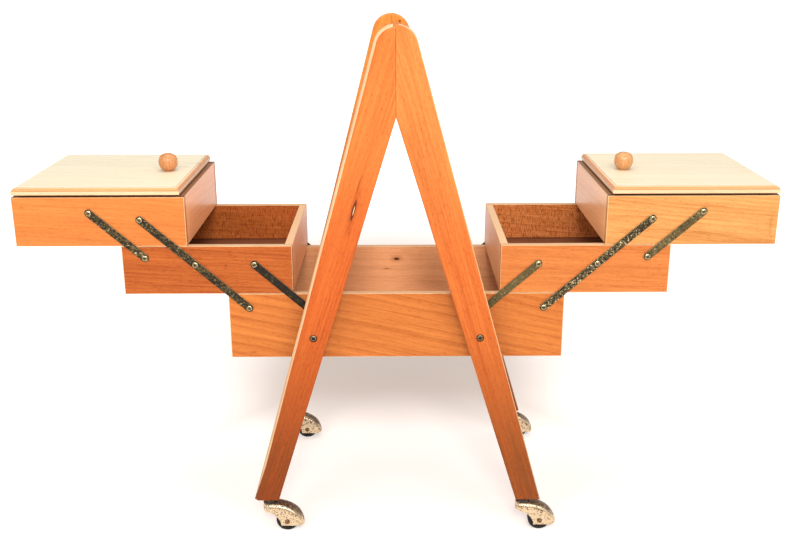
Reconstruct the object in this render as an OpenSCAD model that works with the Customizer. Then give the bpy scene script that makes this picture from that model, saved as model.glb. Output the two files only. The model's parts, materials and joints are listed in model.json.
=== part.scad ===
// Cantilever sewing box: a base box hung between two A-frames on castors,
// with a middle tray and a lidded top tray that swing out on each side.
// Millimetres. The origin is on the ground under the middle of the box,
// +X points to the right-hand trays, -Y to the front and +Z up.

/* [Boxes] */
// Length of the base box
box_w = 440; // [400:10:480]
// Depth of every box, front to back
box_d = 228; // [200:2:260]
// Thickness of the boards
board_t = 10; // [8:1:12]
// Height of the base box
base_h = 89.5; // [80:0.5:100]
// Height of a middle tray
mid_h = 64.8; // [60:0.2:70]
// Height of a top tray
top_h = 64.6; // [60:0.2:70]
// Thickness of a floor panel
floor_t = 4; // [3:0.5:6]
// Height of a floor panel's underside above the bottom edge of its box
floor_up = 8; // [4:1:10]
// Height of the base box's bottom edge above the ground
base_z = 245.6; // [220:0.2:270]
// Slit between a tray and the rim that it rests on
rest_gap = 0.3; // [0.3:0.1:1]
// Slit between the left and the right tray when they are folded in
middle_gap = 1; // [1:0.5:4]

/* [Linkage] */
// Distance that a tray moves sideways on the box below it
travel = 134.5; // [120:0.5:140]
// Distance between neighbouring pivots of a link
link_pitch = 90; // [85:1:95]
// Width of a link strip
link_w = 10; // [8:0.5:12]
// Thickness of a link strip
link_t = 1.8; // [1.5:0.1:2.5]
// Distance of the long link's base pivot from the middle of the box
long_x = 193.1; // [185:0.1:200]
// Height of the long link's base pivot above the base box's bottom edge
long_up = 70.3; // [66:0.1:74]
// Distance of the lower short link's base pivot from the middle of the box
lower_x = 116.8; // [110:0.1:125]
// Distance of the upper short link's lower pivot from the long link's middle pivot
upper_dx = 64.2; // [55:0.1:70]
// Height of the upper short link's lower pivot above the long link's middle pivot
upper_dz = 9.2; // [0:0.1:12]

/* [A-frames] */
// Thickness of the leg boards
leg_t = 16; // [14:1:20]
// Space between the box and a leg, filled by a spacer at the screw
leg_gap = 16; // [12:1:20]
// Height of the legs' cut feet above the ground
foot_z = 47; // [46:0.5:56]
// Distance of a foot's outer corner from the middle
foot_outer = 195.4; // [180:0.1:200]
// Distance of a foot's inner corner from the middle
foot_inner = 161.9; // [150:0.1:165]
// Height of the crotch where the two legs meet
crotch_z = 569.6; // [550:0.1:590]
// Radius of the rounded top
top_r = 27.4; // [20:0.1:28]
// Height of the rounded top's centre
top_z = 652.7; // [640:0.1:670]
// Drop of the back A-frame's rounded top below the front one's
back_drop = 3; // [0:0.5:5]
// Angle that the back A-frame leans to the left about its screws
back_lean = 1; // [0:0.1:1.5]
// Distance of a leg's screw from the middle
leg_screw_x = 107.9; // [104:0.1:112]
// Height of a leg's screw above the base box's bottom edge
leg_screw_up = 38.9; // [30:0.1:45]
// Radius of the handle dowel
handle_r = 12; // [10:0.5:14]
// Height of the handle dowel's axis
handle_z = 645; // [640:1:655]

/* [Lids] */
// Thickness of a lid
lid_t = 9.5; // [9:0.5:12]
// Gap between a lid and the rim of its tray, which the hinge leaves fill
lid_gap = 2.3; // [2:0.1:3]
// Distance that a lid's inner end stands back from the tray's inner end
lid_inset = 6; // [3:0.5:8]
// Distance that a lid's front and back edges stand back from the tray
lid_setback = 1.5; // [0:0.5:3]
// Height of a knob
knob_h = 24.5; // [18:0.5:28]
// Largest radius of a knob
knob_r = 13; // [10:0.5:14]
// Distance of a knob from the lid's inner end
knob_in = 35; // [20:0.5:40]
// Distance of a knob in front of the lid's middle
knob_forward = 8; // [0:0.5:12]

/* [Castors] */
// Radius of a castor wheel
wheel_r = 15.5; // [14:0.5:16]
// Width of a castor wheel
wheel_w = 14; // [12:0.5:15]
// Distance that a wheel trails behind its stem
trail = 22.2; // [20:0.1:24]
// Distance of a fork's tail from its stem
tail_x = 45; // [44:0.5:48]
// Radius of a fork's round ends seen from above
fork_r = 10.8; // [10.5:0.1:12]
// Thickness of a fork's sheet metal
fork_t = 1.8; // [1.2:0.1:2]

/* [Hidden] */
LEFT = -1;
RIGHT = 1;
FRONT = -1;
BACK = 1;
EACH_SIDE = [LEFT, RIGHT];
EACH_FACE = [FRONT, BACK];
$fn = 48;
eps = 0.01;
// Angle by which a leg's rounded part reaches into its tapered one
crown_lap = 5;
half_d = box_d / 2;

// Trays: inner ends when open, and the heights of their bottom edges
tray_w = (box_w - middle_gap) / 2;
mid_x = middle_gap / 2 + travel;
top_x = mid_x + travel;
mid_z = base_z + base_h + rest_gap;
top_tray_z = mid_z + mid_h + rest_gap;
rim_z = top_tray_z + top_h;

// One step of the linkage, from a pivot to the next one above it, when open
step_x = travel / 2;
step_z = sqrt(link_pitch * link_pitch - step_x * step_x);
open_angle = atan2(step_z, step_x);
long_z = base_z + long_up;
lower_z = long_z;
upper_x = long_x + step_x + upper_dx;
upper_z = long_z + step_z + upper_dz;

// Pivot screws: round slotted heads on wood-screw shanks
shank_r = 2;
head_r = 4;
head_h = 2.2;
slot_w = 1;
slot_h = 0.9;
head_dome = 4.8;
slot_turn = 40;
bite = 8;
link_air = 0.3;
running_air = 0.05;
open_air = 0.3;

// A-frames
leg_y = half_d + leg_gap + leg_t / 2;
leg_screw_z = base_z + leg_screw_up;
recess_r = 5.2;
recess_h = 1.4;
spacer_r = 12;
tenon_r = 8;
tenon_h = 8;

// Lids and their hinges
lid_w = tray_w - lid_inset;
lid_d = box_d - 2 * lid_setback;
lid_x = top_x + lid_inset;
lid_z = rim_z + lid_gap;
lid_edge_h = 4.8;
lid_ovolo_r = lid_t - lid_edge_h;
lid_fillet = 0.8;
knob_neck_r = 8;
leaf_t = 1;
leaf_w = 9;
leaf_l = 34;
leaf_y = 70;
barrel_r = 2.2;
pin_r = 0.9;
knuckle_l = 10;
knuckle_air = 0.3;
outer_x = top_x + tray_w;
hinge_x = outer_x + barrel_r + knuckle_air;
hinge_z = rim_z + lid_gap / 2;

// Castors
stem_x = 173.4;
stem_r = 4;
stem_h = 26;
collar_r = 8;
collar_h = 3.2;
socket_r = 5.5;
socket_h = 28;
flange_r = 8.5;
flange_h = 1.8;
fork_top = foot_z - flange_h - rest_gap - collar_h;
skirt_z = 9;
dome_r = 33;
dome_x = tail_x - dome_r;
neck_cut_r = 21.8;
neck_cut_x = -8;
neck_cut_z = 8;
axle_r = 2;
rivet_r = 3.4;
rivet_h = 0.9;
neck_wall = 14.5;
tread_r = 2.5;

// Colours
FRONT_WOOD = [0.87, 0.52, 0.24];
END_WOOD = [0.91, 0.66, 0.45];
FLOOR_WOOD = [0.62, 0.36, 0.19];
LID_WOOD = [0.93, 0.79, 0.58];
LEG_WOOD = [0.82, 0.44, 0.18];
KNOB_WOOD = [0.85, 0.53, 0.29];
LINK_METAL = [0.45, 0.43, 0.33];
SCREW_METAL = [0.55, 0.50, 0.36];
BRASS = [0.72, 0.60, 0.38];
BLACK = [0.05, 0.05, 0.05];

// Draws the right-hand shape, mirrored for the left
module on_side(side) {
    if (side == RIGHT) children();
    else mirror([1, 0, 0]) children();
}

// Draws the front shape, mirrored for the back
module on_face(face) {
    if (face == FRONT) children();
    else mirror([0, 1, 0]) children();
}

// A front or back board, which runs the full length of its box
module long_board(x, w, z, h, face) {
    on_face(face) translate([x, -half_d, z]) cube([w, board_t, h]);
}

// An end board, which fits between the front and the back
module end_board(x, z, h) {
    translate([x, board_t - half_d, z]) cube([board_t, box_d - 2 * board_t, h]);
}

// A floor panel, let in between the four boards
module floor_panel(x, w, z) {
    translate([x + board_t, board_t - half_d, z + floor_up])
        cube([w - 2 * board_t, box_d - 2 * board_t, floor_t]);
}

// A round-headed slotted screw along +Y, with its head's underside at y = 0
module screw(length, turn) {
    rotate([-90, 0, 0]) cylinder(r = shank_r, h = length);
    difference() {
        rotate([90, 0, 0]) rotate_extrude() intersection() {
            translate([0, -head_dome]) circle(r = head_h + head_dome);
            square([head_r, head_h]);
        }
        rotate([0, turn, 0])
            translate([-head_r, -head_h - eps, -slot_w / 2])
                cube([2 * head_r, slot_h + eps, slot_w]);
    }
}

// A pivot screw on each face at one place on the linkage
module pivot_pair(x, z, turn) {
    for (face = EACH_FACE)
        on_face(face) translate([x, -half_d - 2 * link_air - link_t, z])
            screw(2 * link_air + link_t + bite, turn + slot_turn * face);
}

// A flat link from (x, z) along the open linkage; airs are its holes' clearances
module link(x, z, airs) {
    reach = link_pitch * (len(airs) - 1);
    on_edge = [90, -open_angle, 0];
    translate([x, -half_d - link_air, z]) rotate(on_edge) difference() {
        union() {
            translate([0, -link_w / 2, 0]) cube([reach, link_w, link_t]);
            cylinder(r = link_w / 2, h = link_t);
            translate([reach, 0, 0]) cylinder(r = link_w / 2, h = link_t);
        }
        for (i = [0 : len(airs) - 1])
            translate([i * link_pitch, 0, -eps])
                cylinder(r = shank_r + airs[i], h = link_t + 2 * eps);
    }
}

module link_pair(side, x, z, airs) {
    color(LINK_METAL) on_side(side) for (face = EACH_FACE) on_face(face) link(x, z, airs);
}

// Distance along +X that an A-frame stands out of true at a height
function lean(z, face) = (face == BACK) ? tan(back_lean) * (leg_screw_z - z) : 0;

// Outline of a leg, drawn as a right-hand one: tapered, mitred at the middle, round on top
module leg_outline(side, face) {
    centre_z = (face == BACK) ? top_z - back_drop : top_z;
    top = [side * lean(centre_z, face), centre_z];
    foot_shift = side * lean(foot_z, face);
    outer = [foot_outer + foot_shift, foot_z];
    reach = outer - top;
    tangent_angle = atan2(reach[1], reach[0]) + acos(top_r / norm(reach));
    tangent = top_r * [cos(tangent_angle), sin(tangent_angle)];
    polygon([
        [side * lean(crotch_z, face), crotch_z], [foot_inner + foot_shift, foot_z], outer,
        top + tangent, top
    ]);
    // The rounded part reaches a little into the tapered one, so that the two are one piece
    lap_angle = tangent_angle - crown_lap;
    translate(top) intersection() {
        circle(r = top_r);
        polygon([
            [0, 0], 2 * top_r * [cos(lap_angle), sin(lap_angle)], [2 * top_r, 2 * top_r],
            [0, 2 * top_r]
        ]);
    }
}

module leg(side, face) {
    color(LEG_WOOD) on_side(side) on_face(face) difference() {
        translate([0, leg_t / 2 - leg_y, 0]) rotate([90, 0, 0])
            linear_extrude(height = leg_t) leg_outline(side, face);
        translate([leg_screw_x, -leg_y, leg_screw_z]) rotate([90, 0, 0]) {
            cylinder(r = shank_r + running_air, h = leg_t + 2 * eps, center = true);
            translate([0, 0, leg_t / 2 - recess_h]) cylinder(r = recess_r, h = recess_h + eps);
        }
        translate([stem_x + side * lean(foot_z, face), -leg_y, foot_z - eps])
            cylinder(r = socket_r + running_air, h = socket_h + eps);
        translate([0, leg_t / 2 - leg_y - tenon_h - running_air, handle_z]) rotate([-90, 0, 0])
            cylinder(r = tenon_r + running_air, h = tenon_h + running_air + eps);
    }
}

module handle_dowel() {
    inner = leg_y - leg_t / 2;
    color(KNOB_WOOD) translate([0, 0, handle_z]) rotate([90, 0, 0]) {
        cylinder(r = handle_r, h = 2 * inner, center = true);
        cylinder(r = tenon_r, h = 2 * (inner + tenon_h), center = true);
    }
}

module leg_screws() {
    head_y = -leg_y - leg_t / 2 + recess_h;
    color(SCREW_METAL) for (side = EACH_SIDE, face = EACH_FACE)
        on_side(side) on_face(face) translate([leg_screw_x, head_y, leg_screw_z])
            screw(leg_t - recess_h + leg_gap + bite, 55);
}

module leg_spacers() {
    color(LEG_WOOD) for (side = EACH_SIDE, face = EACH_FACE)
        on_side(side) on_face(face)
            translate([leg_screw_x, -half_d, leg_screw_z]) rotate([90, 0, 0]) difference() {
                cylinder(r = spacer_r, h = leg_gap);
                translate([0, 0, -eps]) cylinder(r = shank_r + running_air, h = leg_gap + 2 * eps);
            }
}

module base_pivot_screws() {
    color(SCREW_METAL) for (side = EACH_SIDE) on_side(side) {
        pivot_pair(long_x, long_z, 20);
        pivot_pair(lower_x, lower_z, 65);
    }
}

module mid_pivot_screws(side) {
    color(SCREW_METAL) on_side(side) {
        pivot_pair(long_x + step_x, long_z + step_z, 10);
        pivot_pair(lower_x + step_x, lower_z + step_z, 50);
        pivot_pair(upper_x, upper_z, 85);
    }
}

module top_pivot_screws(side) {
    color(SCREW_METAL) on_side(side) {
        pivot_pair(long_x + 2 * step_x, long_z + 2 * step_z, 30);
        pivot_pair(upper_x + step_x, upper_z + step_z, 75);
    }
}

// A castor's socket: a flanged sleeve driven up into the foot
module castor_sockets() {
    color(BRASS) for (side = EACH_SIDE, face = EACH_FACE)
        translate([side * stem_x + lean(foot_z, face), face * leg_y, foot_z]) difference() {
            union() {
                cylinder(r = socket_r, h = socket_h - running_air);
                translate([0, 0, -flange_h]) cylinder(r = flange_r, h = flange_h);
            }
            translate([0, 0, -flange_h - eps])
                cylinder(r = stem_r + running_air, h = socket_h + flange_h - 1);
        }
}

// A round-ended slot seen from above, from the stem to the fork's tail
module fork_plan(r, from) {
    to = tail_x - fork_r;
    translate([from, -r]) square([to - from, 2 * r]);
    translate([from, 0]) circle(r = r);
    translate([to, 0]) circle(r = r);
}

// The fork seen from its side: a flat neck that runs into a dome over the wheel
module fork_side() {
    difference() {
        union() {
            intersection() {
                translate([dome_x, fork_top - dome_r]) circle(r = dome_r);
                translate([0, skirt_z]) square([2 * dome_r, fork_top]);
            }
            translate([-fork_r, skirt_z]) square([fork_r + dome_x, fork_top - skirt_z]);
        }
        translate([neck_cut_x, neck_cut_z]) circle(r = neck_cut_r);
    }
}

module fork_hollow() {
    intersection() {
        rotate([90, 0, 0]) linear_extrude(height = 2 * fork_r, center = true) union() {
            translate([dome_x, fork_top - dome_r]) circle(r = dome_r - fork_t);
            translate([dome_x, 0]) square([dome_r - fork_t, fork_top - dome_r]);
        }
        linear_extrude(height = fork_top) fork_plan(fork_r - fork_t, neck_wall);
    }
}

// A castor's fork with its stem and the riveted axle, trailing along +X
module castor_fork(side, face) {
    color(BRASS) translate([side * stem_x + lean(foot_z, face), face * leg_y, 0]) {
        difference() {
            intersection() {
                rotate([90, 0, 0]) linear_extrude(height = 2 * fork_r, center = true) fork_side();
                linear_extrude(height = fork_top) fork_plan(fork_r, 0);
            }
            fork_hollow();
        }
        translate([0, 0, fork_top - eps]) cylinder(r = collar_r, h = collar_h + eps);
        translate([0, 0, fork_top]) cylinder(r = stem_r, h = collar_h + stem_h);
        translate([trail, 0, wheel_r]) rotate([90, 0, 0]) {
            cylinder(r = axle_r, h = 2 * fork_r, center = true);
            for (end = [-1, 1])
                translate([0, 0, end * (fork_r + rivet_h / 2 - eps)])
                    cylinder(r = rivet_r, h = rivet_h, center = true);
        }
    }
}

module castor_wheel(side, face) {
    hub_x = side * stem_x + lean(foot_z, face) + trail;
    color(BLACK) translate([hub_x, face * leg_y, wheel_r]) rotate([90, 0, 0])
        difference() {
            rotate_extrude($fn = 64) {
                translate([0, -wheel_w / 2]) square([wheel_r - tread_r, wheel_w]);
                translate([0, tread_r - wheel_w / 2]) square([wheel_r, wheel_w - 2 * tread_r]);
                for (end = [-1, 1])
                    translate([wheel_r - tread_r, end * (wheel_w / 2 - tread_r)])
                        circle(r = tread_r);
            }
            cylinder(r = axle_r + running_air, h = wheel_w + 1, center = true);
        }
}

// Section through a lid of width w: a square edge, a small step and a quarter round
module lid_section(w) {
    edge = lid_fillet + lid_ovolo_r;
    square([w, lid_edge_h]);
    translate([edge, 0]) square([w - 2 * edge, lid_t]);
    for (x = [edge, w - edge]) translate([x, lid_edge_h]) circle(r = lid_ovolo_r);
}

module lid(side) {
    color(LID_WOOD) on_side(side) translate([lid_x, 0, lid_z]) intersection() {
        translate([0, lid_d / 2, 0]) rotate([90, 0, 0])
            linear_extrude(height = lid_d) lid_section(lid_w);
        translate([0, -lid_d / 2, 0]) rotate([90, 0, 90])
            linear_extrude(height = lid_w) lid_section(lid_d);
    }
}

// A turned egg-shaped knob on a short neck
module knob(side) {
    color(KNOB_WOOD) on_side(side) translate([lid_x + knob_in, -knob_forward, lid_z + lid_t])
        rotate_extrude() {
            square([knob_neck_r, knob_h / 2]);
            intersection() {
                translate([0, knob_h - knob_r]) circle(r = knob_r);
                square([knob_r, knob_h]);
            }
        }
}

// A round bar on the hinge's axis, from y to y + l
module hinge_bar(r, y, l) {
    translate([hinge_x, y + l, hinge_z]) rotate([90, 0, 0]) cylinder(r = r, h = l);
}

// The two leaves screwed down on the rim of the outer end, with the pins
module hinge_fixed_leaves(side) {
    color(BRASS) on_side(side) for (face = EACH_FACE)
        translate([0, face * leaf_y - leaf_l / 2, 0]) {
            translate([outer_x - leaf_w, 0, rim_z]) cube([leaf_w, leaf_l, leaf_t]);
            for (y = [0, leaf_l - knuckle_l]) {
                translate([outer_x - eps, y, rim_z]) cube([barrel_r, knuckle_l, leaf_t]);
                hinge_bar(barrel_r, y, knuckle_l);
            }
            hinge_bar(pin_r, eps, leaf_l - 2 * eps);
        }
}

// The two leaves screwed up under the lid, each with its middle knuckle
module hinge_lid_leaves(side) {
    middle_l = leaf_l - 2 * (knuckle_l + knuckle_air);
    middle_y = knuckle_l + knuckle_air;
    color(BRASS) on_side(side) for (face = EACH_FACE)
        translate([0, face * leaf_y - leaf_l / 2, 0]) {
            translate([outer_x - leaf_w, 0, lid_z - leaf_t]) cube([leaf_w, leaf_l, leaf_t]);
            difference() {
                union() {
                    translate([outer_x - eps, middle_y, lid_z - leaf_t])
                        cube([barrel_r, middle_l, leaf_t]);
                    hinge_bar(barrel_r, middle_y, middle_l);
                }
                hinge_bar(pin_r + running_air, 0, leaf_l);
            }
        }
}

module base_board(face) {
    color(FRONT_WOOD) long_board(-box_w / 2, box_w, base_z, base_h, face);
}

module base_end(side) {
    color(END_WOOD) on_side(side) end_board(box_w / 2 - board_t, base_z, base_h);
}

module base_floor() {
    color(FLOOR_WOOD) floor_panel(-box_w / 2, box_w, base_z);
}

// A tray's front or back board; the tray's inner end is at x and its bottom edge at z
module tray_board(side, face, x, z, h) {
    color(FRONT_WOOD) on_side(side) long_board(x, tray_w, z, h, face);
}

module tray_inner_end(side, x, z, h) {
    color(END_WOOD) on_side(side) end_board(x, z, h);
}

module tray_outer_end(side, x, z, h) {
    color(END_WOOD) on_side(side) end_board(x + tray_w - board_t, z, h);
}

module tray_floor(side, x, z) {
    color(FLOOR_WOOD) on_side(side) floor_panel(x, tray_w, z);
}

module long_links(side) {
    link_pair(side, long_x, long_z, [running_air, running_air, running_air]);
}

module lower_links(side) {
    link_pair(side, lower_x, lower_z, [running_air, open_air]);
}

module upper_links(side) {
    link_pair(side, upper_x, upper_z, [running_air, open_air]);
}

base_board(FRONT);  // base_front
base_board(BACK);  // base_back
base_end(LEFT);  // base_left_end
base_end(RIGHT);  // base_right_end
base_floor();
leg(LEFT, FRONT);  // front_left_leg
leg(RIGHT, FRONT);  // front_right_leg
leg(LEFT, BACK);  // back_left_leg
leg(RIGHT, BACK);  // back_right_leg
handle_dowel();
leg_screws();
leg_spacers();
base_pivot_screws();
castor_sockets();
long_links(LEFT);  // left_long_links
lower_links(LEFT);  // left_lower_links
upper_links(LEFT);  // left_upper_links
long_links(RIGHT);  // right_long_links
lower_links(RIGHT);  // right_lower_links
upper_links(RIGHT);  // right_upper_links
tray_board(LEFT, FRONT, mid_x, mid_z, mid_h);  // left_mid_front
tray_board(LEFT, BACK, mid_x, mid_z, mid_h);  // left_mid_back
tray_inner_end(LEFT, mid_x, mid_z, mid_h);  // left_mid_inner_end
tray_outer_end(LEFT, mid_x, mid_z, mid_h);  // left_mid_outer_end
tray_floor(LEFT, mid_x, mid_z);  // left_mid_floor
mid_pivot_screws(LEFT);  // left_mid_pivot_screws
tray_board(RIGHT, FRONT, mid_x, mid_z, mid_h);  // right_mid_front
tray_board(RIGHT, BACK, mid_x, mid_z, mid_h);  // right_mid_back
tray_inner_end(RIGHT, mid_x, mid_z, mid_h);  // right_mid_inner_end
tray_outer_end(RIGHT, mid_x, mid_z, mid_h);  // right_mid_outer_end
tray_floor(RIGHT, mid_x, mid_z);  // right_mid_floor
mid_pivot_screws(RIGHT);  // right_mid_pivot_screws
tray_board(LEFT, FRONT, top_x, top_tray_z, top_h);  // left_top_front
tray_board(LEFT, BACK, top_x, top_tray_z, top_h);  // left_top_back
tray_inner_end(LEFT, top_x, top_tray_z, top_h);  // left_top_inner_end
tray_outer_end(LEFT, top_x, top_tray_z, top_h);  // left_top_outer_end
tray_floor(LEFT, top_x, top_tray_z);  // left_top_floor
top_pivot_screws(LEFT);  // left_top_pivot_screws
hinge_fixed_leaves(LEFT);  // left_hinge_fixed_leaves
tray_board(RIGHT, FRONT, top_x, top_tray_z, top_h);  // right_top_front
tray_board(RIGHT, BACK, top_x, top_tray_z, top_h);  // right_top_back
tray_inner_end(RIGHT, top_x, top_tray_z, top_h);  // right_top_inner_end
tray_outer_end(RIGHT, top_x, top_tray_z, top_h);  // right_top_outer_end
tray_floor(RIGHT, top_x, top_tray_z);  // right_top_floor
top_pivot_screws(RIGHT);  // right_top_pivot_screws
hinge_fixed_leaves(RIGHT);  // right_hinge_fixed_leaves
lid(LEFT);  // left_lid
knob(LEFT);  // left_knob
hinge_lid_leaves(LEFT);  // left_hinge_lid_leaves
lid(RIGHT);  // right_lid
knob(RIGHT);  // right_knob
hinge_lid_leaves(RIGHT);  // right_hinge_lid_leaves
castor_fork(LEFT, FRONT);  // front_left_castor_fork
castor_wheel(LEFT, FRONT);  // front_left_castor_wheel
castor_fork(RIGHT, FRONT);  // front_right_castor_fork
castor_wheel(RIGHT, FRONT);  // front_right_castor_wheel
castor_fork(LEFT, BACK);  // back_left_castor_fork
castor_wheel(LEFT, BACK);  // back_left_castor_wheel
castor_fork(RIGHT, BACK);  // back_right_castor_fork
castor_wheel(RIGHT, BACK);  // back_right_castor_wheel
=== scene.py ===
"""The looks of a cantilever sewing box: beech boxes, steel links, brass castors.

Every length is in metres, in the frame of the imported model: +X to the right-hand
trays, -Y to the front, +Z up, with the origin on the ground under the middle.
"""

import json
import math

import bmesh
import bpy
from mathutils import Matrix, Vector

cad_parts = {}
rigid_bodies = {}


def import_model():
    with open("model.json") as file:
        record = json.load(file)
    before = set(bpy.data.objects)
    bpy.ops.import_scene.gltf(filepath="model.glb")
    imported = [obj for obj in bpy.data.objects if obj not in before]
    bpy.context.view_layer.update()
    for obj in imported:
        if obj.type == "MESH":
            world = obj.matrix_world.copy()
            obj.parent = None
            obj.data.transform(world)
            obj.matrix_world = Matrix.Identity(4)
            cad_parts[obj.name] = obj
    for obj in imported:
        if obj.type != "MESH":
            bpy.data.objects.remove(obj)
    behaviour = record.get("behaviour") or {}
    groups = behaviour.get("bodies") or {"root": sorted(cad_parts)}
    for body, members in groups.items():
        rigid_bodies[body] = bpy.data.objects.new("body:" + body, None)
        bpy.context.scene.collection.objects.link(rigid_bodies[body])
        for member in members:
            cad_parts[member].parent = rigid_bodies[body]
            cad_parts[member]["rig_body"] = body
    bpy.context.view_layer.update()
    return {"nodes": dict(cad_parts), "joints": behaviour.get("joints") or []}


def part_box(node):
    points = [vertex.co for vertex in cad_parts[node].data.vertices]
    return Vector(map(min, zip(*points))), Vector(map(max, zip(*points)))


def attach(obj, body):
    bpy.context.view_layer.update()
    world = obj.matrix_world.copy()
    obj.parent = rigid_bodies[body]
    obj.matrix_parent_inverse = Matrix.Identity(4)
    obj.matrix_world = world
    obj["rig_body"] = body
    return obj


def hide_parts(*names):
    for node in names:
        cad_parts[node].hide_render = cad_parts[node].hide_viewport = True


bl_info = {
    "name": "Cantilever Sewing Box",
    "version": (1, 0, 0),
    "blender": (4, 5, 0),
    "location": "View3D > Sidebar > Sewing Box",
    "description": "Dresses the sewing box's frame in varnished beech, steel and brass",
    "category": "Object",
}

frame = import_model()

MM = 0.001
SIDES = ("left", "right")
FACES = ("front", "back")
CORNERS = [(face, side) for face in FACES for side in SIDES]
JOINTS = {joint["name"]: joint for joint in frame["joints"]}
X_AXIS, Y_AXIS, Z_AXIS = Vector((1, 0, 0)), Vector((0, 1, 0)), Vector((0, 0, 1))


# ---------------------------------------------------------------- settings

def colour_property(name, description, default):
    """A colour that a user may change."""
    return bpy.props.FloatVectorProperty(
        name=name, description=description, default=default,
        subtype="COLOR", size=3, min=0.0, max=1.0)


def length_property(name, description, default):
    """A length that a user may change, in metres."""
    return bpy.props.FloatProperty(
        name=name, description=description, default=default,
        min=0.0, unit="LENGTH", precision=5)


class SewingBoxWood(bpy.types.PropertyGroup):
    """Colours and grain of the varnished beech."""

    front_light: colour_property(
        "Front light", "Early wood of the front and back boards", (0.60, 0.195, 0.042))
    front_dark: colour_property(
        "Front dark", "Late wood of the front and back boards", (0.32, 0.072, 0.009))
    end_light: colour_property(
        "End light", "Early wood of the end boards", (0.84, 0.42, 0.22))
    end_dark: colour_property(
        "End dark", "Late wood of the end boards", (0.58, 0.24, 0.11))
    lid_light: colour_property(
        "Lid light", "Early wood of the lids", (0.86, 0.775, 0.59))
    lid_dark: colour_property(
        "Lid dark", "Late wood of the lids", (0.66, 0.54, 0.34))
    leg_light: colour_property(
        "Leg light", "Early wood of the legs", (0.63, 0.196, 0.043))
    leg_dark: colour_property(
        "Leg dark", "Late wood of the legs", (0.34, 0.070, 0.010))
    # The floor panels' colours are darkened with the painted shade inside the boxes
    floor_light: colour_property(
        "Floor light", "Light veneer of the floor panels", (0.22, 0.08, 0.036))
    floor_dark: colour_property(
        "Floor dark", "Dark veneer of the floor panels", (0.11, 0.036, 0.018))
    turned_light: colour_property(
        "Turned light", "Early wood of the knobs and the handle", (0.64, 0.29, 0.12))
    turned_dark: colour_property(
        "Turned dark", "Late wood of the knobs and the handle", (0.42, 0.155, 0.05))
    # Pale wood of wear, and of the painted highlight on top rims and outer edges
    worn: colour_property(
        "Worn arris", "Bare wood where an edge is rubbed", (0.66, 0.46, 0.26))
    knot: colour_property(
        "Knot", "Core of a knot", (0.05, 0.014, 0.006))
    ring_spacing: length_property(
        "Ring spacing", "Distance between growth rings", 4.2 * MM)


class SewingBoxMetal(bpy.types.PropertyGroup):
    """Colours of the steel and the brass."""

    steel: colour_property("Steel", "Bare steel of the links and screws", (0.72, 0.60, 0.36))
    tarnish: colour_property("Tarnish", "Olive tarnish on the links", (0.105, 0.078, 0.030))
    black: colour_property("Black", "Darkest patches on the links", (0.014, 0.012, 0.009))
    brass: colour_property("Brass", "Pale plated brass of the castors", (0.70, 0.56, 0.37))
    patina: colour_property("Patina", "Brown patina of the castors", (0.17, 0.075, 0.028))
    wheel: colour_property("Wheel", "Castor wheels", (0.004, 0.004, 0.004))


class SewingBoxShape(bpy.types.PropertyGroup):
    """Small shapes that finish the pieces."""

    arris: length_property("Arris", "Radius of the boards' eased edges", 0.7 * MM)
    wide_round: length_property("Wide round", "Radius of the front left leg's outer edges", 5.6 * MM)
    leg_round: length_property("Leg round", "Radius of the other legs' outer edges", 1.7 * MM)
    link_arris: length_property("Link arris", "Radius of the links' edges", 0.5 * MM)
    lid_arris: length_property("Lid arris", "Radius of a lid's square edge", 0.5 * MM)
    seed: bpy.props.IntProperty(
        name="Seed", description="Seed of the screws' slot angles", default=7, min=0)


class SewingBoxStage(bpy.types.PropertyGroup):
    """Camera, lights and floor."""

    eye: bpy.props.FloatVectorProperty(
        name="Eye", description="Place of the camera", default=(-0.0016, -1.3338, 0.7565),
        size=3, subtype="TRANSLATION", unit="LENGTH")
    tilt: bpy.props.FloatProperty(
        name="Tilt", description="Angle of the view below the horizon",
        default=0.311, unit="ROTATION")
    pan: bpy.props.FloatProperty(
        name="Pan", description="Turn of the view to the left", default=-0.005, unit="ROTATION")
    roll: bpy.props.FloatProperty(
        name="Roll", description="Roll of the camera", default=-0.002, unit="ROTATION")
    lens: bpy.props.FloatProperty(
        name="Lens", description="Focal length on a 36 mm sensor",
        default=44.35, min=1.0, unit="CAMERA")
    sky: bpy.props.FloatProperty(
        name="Sky", description="Light from the white surroundings", default=0.5, min=0.0)
    backdrop: bpy.props.FloatProperty(
        name="Backdrop", description="Brightness of the white behind the box", default=1.1, min=0.0)
    key: bpy.props.FloatProperty(
        name="Key", description="Power of each front light", default=22.0, min=0.0, unit="POWER")
    front: bpy.props.FloatProperty(
        name="Front", description="Power of the middle front light", default=46.0, min=0.0,
        unit="POWER")
    top: bpy.props.FloatProperty(
        name="Top", description="Power of the overhead light", default=22.0, min=0.0, unit="POWER")
    floor: colour_property("Floor", "Pale floor", (0.80, 0.70, 0.63))


class SewingBoxSettings(bpy.types.PropertyGroup):
    """Everything a user may change."""

    wood: bpy.props.PointerProperty(
        type=SewingBoxWood, name="Wood", description="Colours and grain of the beech")
    metal: bpy.props.PointerProperty(
        type=SewingBoxMetal, name="Metal", description="Colours of the metal parts")
    shape: bpy.props.PointerProperty(
        type=SewingBoxShape, name="Shape", description="Eased edges and seeds")
    stage: bpy.props.PointerProperty(
        type=SewingBoxStage, name="Stage", description="Camera, lights and floor")


def settings():
    """The scene's own settings."""
    return bpy.context.scene.sewing_box


# ---------------------------------------------------------------- shader maths

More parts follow.
